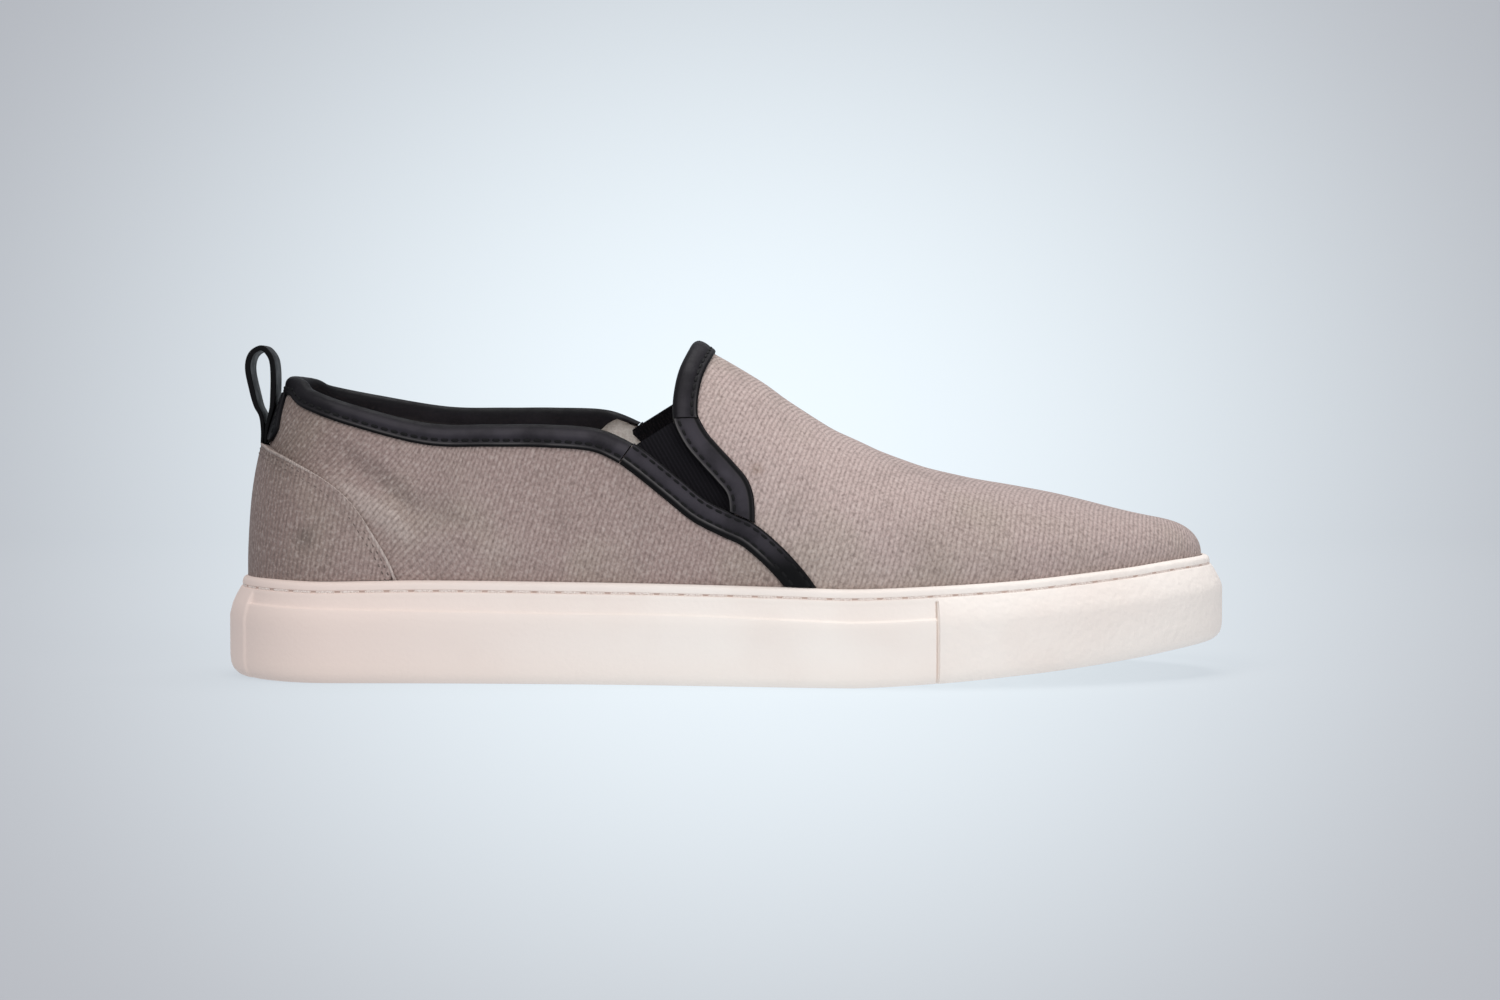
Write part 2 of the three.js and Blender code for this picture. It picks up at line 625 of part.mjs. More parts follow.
// The strip along the gore's front edge, from the binding down to the rear strip, which lies over its end.
function frontStrip(side) {
  const { front } = edges(side);
  return leatherShell
    .intersect(sidePrism(ribbon(front, 0, -stripWidth), side))
    .intersect(belowJoin)
    .subtract(rearStripClear(side));
}

// The elastic, behind the canvas, between the two edges.
function goreArea(side, grow) {
  const { topline, veeRear, veeFront } = edges(side);
  const corner = topline.at(-1);
  const topAt = (x) => new THREE.Vector2(x, corner.y + grow + (x - corner.x) * goreTopSlope);
  const outline = [...moved(veeRear, goreSeam + grow), ...moved(veeFront, -goreSeam - grow).reverse()];
  return sidePrism(outline, side).intersect(prism(below([topAt(-soleLength / 2), topAt(soleLength / 2)])));
}
const gore = (side) =>
  shell(-canvasWall - gap - goreWall, -canvasWall - gap).intersect(goreArea(side, 0));

// Leather folded over the quarter's edge, all round the heel.
function collarBinding() {
  const bands = [-1, 1].map((side) =>
    wrapShell
      .intersect(bindingBand(side))
      .subtract(rearStripClear(side))
      .subtract(goreArea(side, gap).intersect(form(-canvasWall))),
  );
  const clear = [-1, 1].map((side) =>
    canvasClear.intersect(sidePrism(below(moved(edges(side).topline, leatherWall)), side)),
  );
  return unite(bands).subtract(unite(clear));
}

// Leather folded over the throat's edge, across the instep.
function throatBinding() {
  const bands = [-1, 1].map((side) =>
    wrapShell
      .intersect(sidePrism(ribbon(edges(side).front, 0, -stripWidth), side))
      .intersect(aboveJoin)
      .subtract(goreArea(side, gap).intersect(form(-canvasWall))),
  );
  const clear = [-1, 1].map((side) =>
    canvasClear.intersect(sidePrism(aheadOf(moved(edges(side).front, gap - stripOverhang)), side)),
  );
  return unite(bands).subtract(unite(clear));
}

// The second layer of canvas round the heel, which thins out towards its front edge.
function heelCounter() {
  const outer = form(gap + counterWall, gap + counterEdge, counterRows.at(-2).along);
  return outer.subtract(form(gap)).intersect(prism(below(sideLine(counterRows)))).intersect(aboveRim);
}

function insole() {
  const slab = [
    ...lengthLine((share) => floorAt(share) + gap),
    ...lengthLine((share) => floorAt(share) + gap + insoleWall).reverse(),
  ];
  return form(-canvasWall - gap).intersect(prism(slab));
}

// Where the canvas at the back of the heel reaches a height.
function heelBackAt(height) {
  const spine = sweep.map((rise) => canvasPoint(0, rise, -1));
  return spine.find((point) => point.z >= height).x;
}

// A strap folded into a loop, with its two ends sewn to a patch on the back of the heel, above the counter.
function pullLoop() {
  const centre = middleLine(0) + sideShift;
  const collarTop = throatHeight * toplineRows[0].height;
  const patchFoot = throatHeight * counterRows[0].height;
  const foot = patchFoot + gap;
  const half = (loopOpening + loopStrap) / 2;
  const high = collarTop + loopRise - loopStrap / 2;
  const loopX = heelBackAt(foot) - gap - leatherWall - loopRows[0].near * half;
  const strand = (column) =>
    loopRows.map((row) => new THREE.Vector2(loopX + row[column] * half, lerp(foot, high, row.up)));
  const path = new THREE.SplineCurve([...strand("near"), ...strand("far").slice(0, -1).reverse()]).getPoints(
    (loopRows.length - 1) * 2 * loopSteps,
  );
  const outline = (line) => ribbon(line, loopStrap / 2, -loopStrap / 2);
  const band = (line) => prism(outline(line), centre - loopWidth / 2, centre + loopWidth / 2);
  const top = Math.floor(path.length / 2);
  const tab = new THREE.Shape();
  tab.moveTo(centre - tabTopWidth / 2, collarTop);
  tab.lineTo(centre - tabWidth / 2, patchFoot + tabCorner);
  tab.quadraticCurveTo(centre - tabWidth / 2, patchFoot, centre - tabWidth / 2 + tabCorner, patchFoot);
  tab.lineTo(centre + tabWidth / 2 - tabCorner, patchFoot);
  tab.quadraticCurveTo(centre + tabWidth / 2, patchFoot, centre + tabWidth / 2, patchFoot + tabCorner);
  tab.lineTo(centre + tabTopWidth / 2, collarTop);
  const patch = leatherShell
    .intersect(acrossPrism(tab, -farAway, loopX + tabWidth))
    .subtract(bindingBand(-1, gap))
    .subtract(bindingBand(1, gap))
    .subtract(prism(above(sideLine(toplineRows))));
  return unite([band(path.slice(0, top + 2)), band(path.slice(top - 1)), patch]);
}

// Assembly
const finish = {
  rubber: new THREE.MeshStandardMaterial({ color: 0xe6dcd5, roughness: 0.65, metalness: 0 }),
  canvas: new THREE.MeshStandardMaterial({ color: 0x978a84, roughness: 0.95, metalness: 0 }),
  leather: new THREE.MeshStandardMaterial({ color: 0x1c1b1e, roughness: 0.5, metalness: 0 }),
  elastic: new THREE.MeshStandardMaterial({ color: 0x121214, roughness: 0.9, metalness: 0 }),
  lining: new THREE.MeshStandardMaterial({ color: 0xb9aca5, roughness: 0.9, metalness: 0 }),
};

// Makes corners that the cuts left within a hair of each other one, and turns each needle about its long
// edge.
function withoutSlivers(points, triangles) {
  const owner = points.map((_, n) => n);
  const root = (n) => (owner[n] === n ? n : root(owner[n]));
  const apart = (a, b) => points[a].distanceTo(points[b]);
  for (const [a, b, c] of triangles) {
    for (const [from, to] of [[a, b], [b, c], [c, a]]) {
      if (apart(from, to) < hair) owner[root(from)] = root(to);
    }
  }
  let faces = triangles.map((face) => face.map(root)).filter(([a, b, c]) => a !== b && b !== c && c !== a);
  const seen = new Map();
  for (const face of faces) {
    const key = [...face].sort((a, b) => a - b).join();
    seen.set(key, (seen.get(key) ?? 0) + 1);
  }
  faces = faces.filter((face) => seen.get([...face].sort((a, b) => a - b).join()) === 1);
  const edges = new Map();
  const link = (face, k) => [face[k], face[(k + 1) % 3]].join();
  const note = (face) => [0, 1, 2].forEach((k) => edges.set(link(face, k), face));
  faces.forEach(note);
  for (let pass = 0; pass < needlePasses; pass += 1) {
    for (const face of faces) {
      const long = [0, 1, 2].reduce((best, k) =>
        apart(face[k], face[(k + 1) % 3]) > apart(face[best], face[(best + 1) % 3]) ? k : best, 0);
      const [a, b, tip] = [face[long], face[(long + 1) % 3], face[(long + 2) % 3]];
      const line = new THREE.Line3(points[a], points[b]);
      const foot = line.closestPointToPoint(points[tip], true, new THREE.Vector3());
      if (foot.distanceTo(points[tip]) > hair / 2) continue;
      const other = edges.get([b, a].join());
      const far = other.find((n) => n !== a && n !== b);
      if (far === tip || edges.has([tip, far].join()) || edges.has([far, tip].join())) continue;
      [face, other].forEach((old) => [0, 1, 2].forEach((k) => edges.delete(link(old, k))));
      face.splice(0, 3, a, far, tip);
      other.splice(0, 3, far, b, tip);
      note(face);
      note(other);
    }
  }
  return faces;
}

const shoe = new THREE.Group();
function place(name, solid, material) {
  const { numProp, vertProperties, triVerts } = solid.getMesh();
  const count = vertProperties.length / numProp;
  const corner = (_, n) => new THREE.Vector3().fromArray(vertProperties, n * numProp);
  const triangle = (_, k) => [...triVerts.slice(3 * k, 3 * k + 3)];
  const points = Array.from({ length: count }, corner);
  const triangles = Array.from({ length: triVerts.length / 3 }, triangle);
  const faces = withoutSlivers(points, triangles);
  const geometry = new THREE.BufferGeometry().setFromPoints(points);
  geometry.setIndex(faces.flat());
  geometry.computeVertexNormals();
  const mesh = new THREE.Mesh(geometry, material);
  mesh.name = name;
  shoe.add(mesh);
}

place("cupsole", cupsole(), finish.rubber);
place("insole", insole(), finish.lining);
place("upper", upper(), finish.canvas);
place("heel_counter", heelCounter(), finish.canvas);
place("collar_binding", collarBinding(), finish.leather);
place("throat_binding", throatBinding(), finish.leather);
place("pull_loop", pullLoop(), finish.leather);
for (const [side, word] of [[-1, "outer"], [1, "inner"]]) {
  place(`${word}_gore`, gore(side), finish.elastic);
  place(`${word}_rear_strip`, rearStrip(side), finish.leather);
  place(`${word}_front_strip`, frontStrip(side), finish.leather);
}

export default shoe;
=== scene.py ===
import math

import bmesh
import bpy
import numpy as np
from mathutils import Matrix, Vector


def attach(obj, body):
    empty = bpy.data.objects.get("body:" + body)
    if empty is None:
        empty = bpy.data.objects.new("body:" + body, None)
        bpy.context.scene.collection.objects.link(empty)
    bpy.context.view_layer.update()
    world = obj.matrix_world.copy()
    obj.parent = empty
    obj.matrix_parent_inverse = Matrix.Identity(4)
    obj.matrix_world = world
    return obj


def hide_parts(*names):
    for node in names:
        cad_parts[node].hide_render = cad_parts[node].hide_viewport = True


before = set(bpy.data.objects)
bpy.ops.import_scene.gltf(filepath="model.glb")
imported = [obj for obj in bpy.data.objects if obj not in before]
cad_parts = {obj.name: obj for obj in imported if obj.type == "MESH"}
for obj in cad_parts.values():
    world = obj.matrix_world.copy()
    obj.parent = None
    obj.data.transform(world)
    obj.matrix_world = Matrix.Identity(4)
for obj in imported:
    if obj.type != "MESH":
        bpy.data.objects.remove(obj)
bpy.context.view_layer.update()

# Studio: a pale sweep of paper that is floor and backdrop in one, three large soft lights and a pale sky.
# The paper glows with painted light, brightest in the middle of the view and darker towards its edges.
# The camera stands level with the shoe's collar and looks slightly down on its outer side.
MM = 0.001

camera_data = bpy.data.cameras.new("camera")
camera_data.lens = 60.288
camera_data.sensor_width = 36
camera = bpy.data.objects.new("camera", camera_data)
camera.location = Vector((6.65, -756, 74)) * MM
camera.rotation_euler = (math.radians(90 - 1.687), 0, 0)
bpy.context.collection.objects.link(camera)
bpy.context.scene.camera = camera
bpy.context.scene.view_settings.view_transform = "Standard"


def tone(red, green, blue):
    """Shader colour from a screen colour of 0 to 255."""
    shares = [value / 255 for value in (red, green, blue)]
    return tuple(((share + 0.055) / 1.055) ** 2.4 for share in shares) + (1.0,)


class Link:
    """An output socket of a material's node, which can be used in Python sums."""

    def __init__(self, finish, socket):
        self.finish = finish
        self.socket = socket

    def output(self, name):
        return Link(self.finish, self.socket.node.outputs[name])

    def maths(self, operation, *values):
        return self.finish.node("ShaderNodeMath", {"operation": operation}, dict(enumerate(values)))

    def __add__(self, other):
        return self.maths("ADD", self, other)

    def __radd__(self, other):
        return self.maths("ADD", other, self)

    def __sub__(self, other):
        return self.maths("SUBTRACT", self, other)

    def __rsub__(self, other):
        return self.maths("SUBTRACT", other, self)

    def __mul__(self, other):
        return self.maths("MULTIPLY", self, other)

    def __rmul__(self, other):
        return self.maths("MULTIPLY", other, self)

    def __truediv__(self, other):
        return self.maths("DIVIDE", self, other)

    def __pow__(self, other):
        return self.maths("POWER", self, other)

    def __abs__(self):
        return self.maths("ABSOLUTE", self)

    def between(self, low, high, to_low=0.0, to_high=1.0):
        """Smooth change from one value to another, as this one goes from low to high."""
        limits = {"Value": self, "From Min": low, "From Max": high, "To Min": to_low, "To Max": to_high}
        return self.finish.node("ShaderNodeMapRange", {"interpolation_type": "SMOOTHSTEP"}, limits)


class Finish:
    """A material, with what its surface is made of."""

    def __init__(self, name, roughness, **constants):
        self.material = bpy.data.materials.new(name)
        self.material.use_nodes = True
        self.nodes = self.material.node_tree.nodes
        self.surface = self.nodes["Principled BSDF"]
        self.feed(self.surface.inputs["Roughness"], roughness)
        for socket, value in constants.items():
            self.surface.inputs[socket.replace("_", " ")].default_value = value

    def feed(self, socket, value):
        if isinstance(value, Link):
            self.material.node_tree.links.new(value.socket, socket)
        else:
            socket.default_value = value

    def node(self, kind, settings, inputs, output=0):
        made = self.nodes.new(kind)
        for name, value in settings.items():
            setattr(made, name, value)
        for name, value in inputs.items():
            self.feed(made.inputs[name], value)
        return Link(self, made.outputs[output])

    def mix(self, share, start, end):
        """Colour between two colours."""
        return self.node("ShaderNodeMix", {"data_type": "RGBA"}, {0: share, 6: start, 7: end}, 2)

    def axes(self, vector):
        """The three numbers of a vector."""
        first = self.node("ShaderNodeSeparateXYZ", {}, {0: vector})
        return first, first.output("Y"), first.output("Z")

    def scaled(self, vector, scale):
        return self.node("ShaderNodeVectorMath", {"operation": "MULTIPLY"}, {0: vector, 1: scale})

    def corners(self, name):
        """The numbers that a piece carries on its corners."""
        return self.node("ShaderNodeAttribute", {"attribute_name": name}, {}, "Vector")

    def place(self, scale=1.0):
        """Place on the shoe in metres, times a number or a number for each direction."""
        here = self.node("ShaderNodeTexCoord", {}, {}, "Object")
        return self.scaled(here, scale if isinstance(scale, tuple) else (scale,) * 3)

    def noise(self, vector, detail=2.0):
        return self.node("ShaderNodeTexNoise", {}, {"Vector": vector, "Scale": 1.0, "Detail": detail})

    def bump(self, height, distance, strength=1.0):
        shape = {"Height": height, "Distance": distance, "Strength": strength}
        self.feed(self.surface.inputs["Normal"], self.node("ShaderNodeBump", {}, shape))

    def colour(self, value):
        self.feed(self.surface.inputs["Base Color"], value)


def smooth_piece(name, points, faces, finish, sharp=35):
    """New object from points in millimetres and its faces, shaded smooth except at sharp edges."""
    mesh = bpy.data.meshes.new(name)
    mesh.from_pydata((np.asarray(points) * MM).tolist(), [], faces)
    work = bmesh.new()
    work.from_mesh(mesh)
    bmesh.ops.recalc_face_normals(work, faces=work.faces)
    work.to_mesh(mesh)
    work.free()
    mesh.shade_smooth()
    mesh.set_sharp_from_angle(angle=math.radians(sharp))
    mesh.materials.append(finish.material)
    made = bpy.data.objects.new(name, mesh)
    bpy.context.collection.objects.link(made)
    return made


FLOOR_FRONT = -3000  # the paper's edges and the radius of its bend, in millimetres
FLOOR_BACK = 900
BEND = 700
PAPER_TOP = 3200
PAPER_HALF = 3200

paper = Finish(
    "pale_paper_painted_glow", 0.95, Base_Color=(0.14, 0.14, 0.14, 1), Specular_IOR_Level=0.0, Emission_Strength=1.0
)
# Painted light: the paper glows by itself, brightest in the middle of the camera's view and darker away from
# it.
from_lens = {0: paper.place(), 1: camera.location}
aside, depth, above = paper.axes(paper.node("ShaderNodeVectorMath", {"operation": "SUBTRACT"}, from_lens))
from_middle = ((aside / depth) ** 2.0 + (above / depth + 0.01) ** 2.0 * 1.35) ** 0.5
glow = paper.mix(from_middle.between(0.0, 0.42), tone(226, 237, 244), tone(156, 159, 166))
paper.feed(paper.surface.inputs["Emission Color"], glow)

bend = np.linspace(0, math.pi / 2, 24)
sweep_side = [(FLOOR_FRONT, 0)]
sweep_side += [(FLOOR_BACK + BEND * math.sin(a), BEND - BEND * math.cos(a)) for a in bend]
sweep_side += [(FLOOR_BACK + BEND, PAPER_TOP)]
sheet = [(x, y, z) for y, z in sweep_side for x in (-PAPER_HALF, PAPER_HALF)]
sheet_faces = [(2 * k, 2 * k + 1, 2 * k + 3, 2 * k + 2) for k in range(len(sweep_side) - 1)]
backdrop = smooth_piece("backdrop", sheet, sheet_faces, paper)

sky = bpy.data.worlds.new("sky")
sky.use_nodes = True
sky.node_tree.nodes["Background"].inputs["Color"].default_value = tone(240, 244, 250)
sky.node_tree.nodes["Background"].inputs["Strength"].default_value = 0.42
bpy.context.scene.world = sky

for name, place, size, power in (
    ("key", (-0.9, -1.3, 1.7), 0.9, 15),
    ("fill", (1.1, -1.5, 0.6), 1.2, 11),
    ("top", (0.2, 0.3, 1.9), 1.2, 19),
):
    lamp_data = bpy.data.lights.new(name, "AREA")
    lamp_data.shape = "SQUARE"
    lamp_data.size = size
    lamp_data.energy = power
    lamp = bpy.data.objects.new(name, lamp_data)
    lamp.location = place
    lamp.rotation_euler = (Vector((0, 0, 0.05)) - Vector(place)).to_track_quat("-Z", "Y").to_euler()
    bpy.context.collection.objects.link(lamp)

# Cupsole: one moulding of off-white rubber, a cup with a raised side panel, an upright slot where the toe
# bumper starts, a groove for the stitches under its rim, and a tread of chevrons.
LENGTH = 297.7
HEEL_WIDTH = 70
BALL_WIDTH = 104
HEEL_ROUND = 36  # length of the outline's round end at the heel
TOE_ROUND = 66
RIM = 29.5  # height of the rim at the heel
TOE_SPRING = 10.5  # how high the bottom curves up at the toe
CUP_FLOOR = 15
SHOULDER = 5.6  # how far the wall leans in, from its widest place to the rim
LIP = 2.3  # flat top of the rim at the heel
PANEL_AT = 0.026  # where the raised side panel starts, as a share of the length
SLOT_AT = 0.7  # upright slot between the panel and the toe bumper
GROOVE_UP = 0.9  # stitch groove, as a share of the wall's height
TREAD = 1.6  # depth of the chevrons
CHEVRON_PITCH = 11
CHEVRON_REACH = 9
CHEVRON_WIDTH = 2.6
GAP = 0.3  # clearance between neighbouring pieces


def curves(rows):
    """Smooth curve through each column of a table, whose first column is the share of the length."""
    table = np.array(rows, float)
    along, values = table[:, 0], table[:, 1:]
    row = np.arange(len(table))
    before, after = np.maximum(row - 1, 0), np.minimum(row + 1, len(table) - 1)
    slopes = (values[after] - values[before]) / (along[after] - along[before])[:, None]

    def curve(column):
        level, slope = values[:, column], slopes[:, column]

        def at(share):
            k = np.clip(np.searchsorted(along, share) - 1, 0, len(along) - 2)
            span = along[k + 1] - along[k]
            u = np.clip((share - along[k]) / span, 0, 1)
            low = (1 + 2 * u) * (1 - u) ** 2 * level[k] + u * (1 - u) ** 2 * span * slope[k]
            high = (3 - 2 * u) * u**2 * level[k + 1] - (1 - u) * u**2 * span * slope[k + 1]
            return low + high

        return at

    return [curve(column) for column in range(values.shape[1])]


outer_width, inner_width = curves([
    (0, 0, 0), (0.12, 0, 0), (0.25, 0.06, -0.05), (0.4, 0.28, -0.1), (0.5, 0.55, 0.1), (0.6, 0.86, 0.47),
    (0.68, 1, 0.82), (0.75, 0.96, 0.97), (0.82, 0.74, 0.92), (0.9, 0.4, 0.6), (1, 0.05, 0.1),
])
rim_share, bottom_share, ledge_share, lip_share, floor_share = curves([
    (0, 1.01, 0.09, 0.75, 1, 1), (0.04, 1, 0.03, 0.75, 1, 1), (0.1, 0.985, 0, 0.743, 0.95, 1),
    (0.2, 0.998, 0, 0.716, 0.6, 1), (0.32, 0.99, 0, 0.703, 0.45, 0.93), (0.45, 0.975, 0, 0.707, 0.45, 0.8),
    (0.56, 0.955, 0, 0.687, 0.45, 0.68), (0.62, 0.942, 0, 0.677, 0.45, 0.62),
    (0.7, 0.972, 0.13, 0.675, 0.45, 0.64), (0.78, 1.015, 0.32, 0.675, 0.45, 0.74),
    (0.84, 1.065, 0.48, 0.675, 0.4, 0.86), (0.9, 1.12, 0.67, 0.675, 0.35, 1),
    (0.95, 1.175, 0.86, 0.675, 0.3, 1.14), (1, 1.207, 1.03, 0.675, 0.3, 1.26),
])


def ramp(value, low, high):
    """0 below low, 1 above high, smooth between."""
    u = np.clip((np.asarray(value, float) - low) / (high - low), 0, 1)
    return u * u * (3 - 2 * u)


def share_at(turn):
    return (1 - np.cos(np.pi * turn)) / 2


def turn_at(share):
    return np.arccos(1 - 2 * share) / np.pi


def share_of(x):
    return np.clip(x / LENGTH + 0.5, 0, 1)


def middle_line(share):
    return 6 * ramp(share, 0.5, 1)


def rim_height(share):
    return RIM * rim_share(share)


def bottom_height(share):
    return TOE_SPRING * np.maximum(0, bottom_share(share))


def floor_at(share):
    return CUP_FLOOR * floor_share(share)


def bare_outline(turn, side):
    """Sole's outline from above: turn is 0 at the heel's back and 1 at the toe's tip, side -1 is outer."""
    past = (turn < 0) | (turn > 1)
    side = np.where(past, -side, side)
    share = share_at(turn)
    heel_end = np.maximum(0, 1 - share * LENGTH / HEEL_ROUND)
    toe_end = np.maximum(0, 1 - (1 - share) * LENGTH / TOE_ROUND)
    full = np.sqrt(1 - heel_end**2) * (1 - toe_end**2.4) ** (1 / 2.4)
    width = np.where(side < 0, outer_width(share), inner_width(share))
    half = (HEEL_WIDTH + (BALL_WIDTH - HEEL_WIDTH) * width) / 2
    return (share - 0.5) * LENGTH, middle_line(share) + side * half * full


fine = np.linspace(0, 1, 200)
SIDE_SHIFT = (-bare_outline(fine, -1)[1].min() - bare_outline(fine, 1)[1].max()) / 2


def outline(turn, side, inset):
    """Outline moved in by a distance."""
    ahead_x, ahead_y = bare_outline(turn + 1e-3, side)
    behind_x, behind_y = bare_outline(turn - 1e-3, side)
    along_x, along_y = ahead_x - behind_x, ahead_y - behind_y
    length = np.hypot(along_x, along_y)
    x, y = bare_outline(turn, side)
    return x + side * along_y / length * inset, y + SIDE_SHIFT - side * along_x / length * inset


def wall_inset(up, share):
    """How far the side wall lies inside the widest outline, at a share of its height."""
    lean = np.clip((up - 0.6) / 0.4, 0, 1) ** 1.5 + 0.42 * np.clip(1 - up / 0.3, 0, 1) ** 5
    lean += np.interp(up, (0.905, 0.92, 0.94, 0.965, 0.975, 0.985, 0.993, 0.998, 1),
                      (0, -0.05, -0.11, -0.165, -0.167, -0.15, -0.108, -0.05, 0))
    groove = np.interp(up, (0.884, 0.888, 0.893, 0.9, 0.907, 0.912, 0.916), (0, 0.3, 0.8, 1, 0.8, 0.3, 0))
    ledge = ledge_share(share)
    step = ramp(up, ledge - 0.013, ledge + 0.009) * np.interp(up, (0.68, 0.83, 0.88, 0.9), (1, 0.6, 0.2, 0))
    below = 1 - ramp(up, 0.76, 0.885)
    panelled = ramp((share - PANEL_AT) * LENGTH, -0.35, 0.35) * (share < SLOT_AT)
    from_slot = np.abs(share - SLOT_AT) * LENGTH
    slot = 0.8 * (1 - ramp(from_slot, 0.32, 0.5)) * (1 - ramp(up, 0.842, 0.852))
    inset = SHOULDER * lean + 0.7 * groove + panelled * (0.8 * step + 0.5 * below) + slot
    return np.minimum(inset, SHOULDER)


def ring(turns):
    """Turn and side of stations all round the sole, the outer side first."""
    turn = np.concatenate([turns, turns[-2:0:-1]])
    side = np.concatenate([-np.ones(len(turns)), np.ones(len(turns) - 2)])
    return turn, side


def lattice_faces(rows, columns, round_rows=False, round_columns=False):
    """Four-sided faces of a lattice of corners, which can close on itself either way."""
    i = np.arange(rows if round_rows else rows - 1)[:, None]
    j = np.arange(columns if round_columns else columns - 1)[None, :]
    i_next, j_next = (i + 1) % rows, (j + 1) % columns
    corners = (i * columns + j, i_next * columns + j, i_next * columns + j_next, i * columns + j_next)
    return np.stack([np.broadcast_to(c, (i.size, j.size)) for c in corners], -1).reshape(-1, 4).tolist()


def add_corners(made, name, values):
    """Numbers on the corners of a piece, three to a corner, for its material."""
    layer = made.data.attributes.new(name, "FLOAT_VECTOR", "POINT")
    layer.data.foreach_set("vector", np.asarray(values, np.float32).ravel())


marks = np.concatenate([
    turn_at(SLOT_AT + np.array((-1.5, -1.1, -0.9, -0.7, -0.3, 0.3, 0.7, 0.9, 1.1, 1.5)) * 0.5 / LENGTH),
    turn_at(PANEL_AT + np.array((-0.8, -0.35, -0.12, 0.12, 0.35, 0.8)) / LENGTH),
])
even = np.linspace(0, 1, 240)
even = even[[k in (0, 239) or np.abs(marks - t).min() > 0.0016 for k, t in enumerate(even)]]
sole_turns = np.sort(np.concatenate([even, marks]))
turn, side = ring(sole_turns)
share = share_at(turn)

near_ledge = ledge_share(share)[:, None] + np.array((-0.04, -0.016, -0.01, -0.005, 0, 0.005, 0.011, 0.03))
low_rows = np.array((0, 0.008, 0.02, 0.04, 0.07, 0.11, 0.18, 0.28, 0.4, 0.5, 0.6))
high_rows = np.array((
    0.82, 0.838, 0.845, 0.851, 0.857, 0.864, 0.874, 0.884, 0.888, 0.893, 0.9, 0.907, 0.912, 0.916, 0.92, 0.93,
    0.945, 0.958, 0.968, 0.977, 0.985, 0.992, 0.997, 1,
))
ups = np.hstack([
    np.broadcast_to(low_rows, (len(turn), len(low_rows))), near_ledge,
    np.broadcast_to(high_rows, (len(turn), len(high_rows))),
])
inset = wall_inset(ups, share[:, None])
base, rim = bottom_height(share)[:, None], rim_height(share)[:, None]
height = base + (rim - base) * ups
# Painted light on the wall's colour: a painted highlight along the top edge of the raised panel, at the heel
# panel's edge and along the rim's lip, painted shade just above the ledge and just ahead of the panel's edge,
# and painted shadow in the slot.
from_panel = (share - PANEL_AT)[:, None] * LENGTH
panelled = ramp(from_panel, -0.3, 0.3) * (share < SLOT_AT - 0.001)[:, None]
from_ledge = ups - ledge_share(share)[:, None]
lit = panelled * np.exp(-(((from_ledge + 0.004) / 0.009) ** 2))
shaded = panelled * 0.45 * ramp(from_ledge, 0.0, 0.008) * (1 - ramp(from_ledge, 0.012, 0.06))
low_wall = 1 - ramp(ups, 0.83, 0.86)
lit = np.maximum(lit, 0.8 * low_wall * np.exp(-(((from_panel + 0.5) / 0.5) ** 2)))
shaded = np.maximum(shaded, 0.4 * low_wall * np.exp(-(((from_panel - 0.4) / 0.7) ** 2)))
lit = np.maximum(lit, 0.7 * np.exp(-(((ups - 0.975) / 0.018) ** 2)))
slot_shadow_mask = (1 - ramp(np.abs(share - SLOT_AT) * LENGTH, 0.35, 0.5))[:, None] * (1 - ramp(ups, 0.842, 0.852))
slot_shadow_mask *= 0.8 + 0.45 * np.exp(-((from_ledge / 0.03) ** 2))
cup_inset = (SHOULDER + LIP * lip_share(share) - GAP)[:, None]
floor = floor_at(share)[:, None]
inset = np.hstack([inset, cup_inset - 0.25, cup_inset, cup_inset, cup_inset])
height = np.hstack([height, rim, rim - 0.25, rim - 6, floor])
x, y = outline(turn[:, None], side[:, None], inset)
columns = height.shape[1]
sole_points = np.stack([x, y, height], -1).reshape(-1, 3)
sole_faces = lattice_faces(len(turn), columns, round_rows=True)
last_turn = len(sole_turns) - 1
for column in (0, columns - 1):
    for k in range(last_turn):
        over = [k * columns + column, (k + 1) * columns + column]
        back = [((len(turn) - n) % len(turn)) * columns + column for n in (k + 1, k)]
        sole_faces.append(list(dict.fromkeys(over + back)))

rubber = Finish("off_white_rubber", 0.62, Specular_IOR_Level=0.35)
along_sole, _, up_sole = rubber.axes(rubber.place())
cast = rubber.mix(along_sole.between(-0.15, 0.02), tone(233, 212, 202), tone(245, 235, 227))
blotch = rubber.noise(rubber.place(28.0), 3.0)
cast = rubber.mix(blotch.between(0.42, 0.72) * 0.3, cast, tone(229, 210, 200))
cast = rubber.mix(up_sole.between(0.0, 0.012, 0.2, 0.0), cast, tone(244, 220, 204))
# The corners carry painted highlight, painted shade and painted shadow in the slot, mixed into the rubber's
# colour.
edge_light, edge_shade, slot_shade = rubber.axes(rubber.corners("relief_and_painted_light"))
cast = rubber.mix(edge_light, cast, tone(255, 253, 250))
cast = rubber.mix(edge_shade * 0.8, cast, tone(196, 170, 156))
rubber.colour(rubber.mix(slot_shade * 0.85, cast, tone(104, 86, 80)))
grain = rubber.noise(rubber.place(700.0))
toe_grain = rubber.noise(rubber.place(420.0), 1.0) * along_sole.between(0.06, 0.062) * 2.2
rubber.bump(grain * 0.5 + toe_grain + blotch, 0.00016)
cupsole_blank = smooth_piece("cupsole_rubber", sole_points, sole_faces, rubber, 40)
painted_relief_light = np.zeros((len(turn), columns, 3))
painted_relief_light[:, : ups.shape[1]] = np.stack([lit, shaded, slot_shadow_mask], -1)
add_corners(cupsole_blank, "relief_and_painted_light", painted_relief_light.reshape(-1, 3))


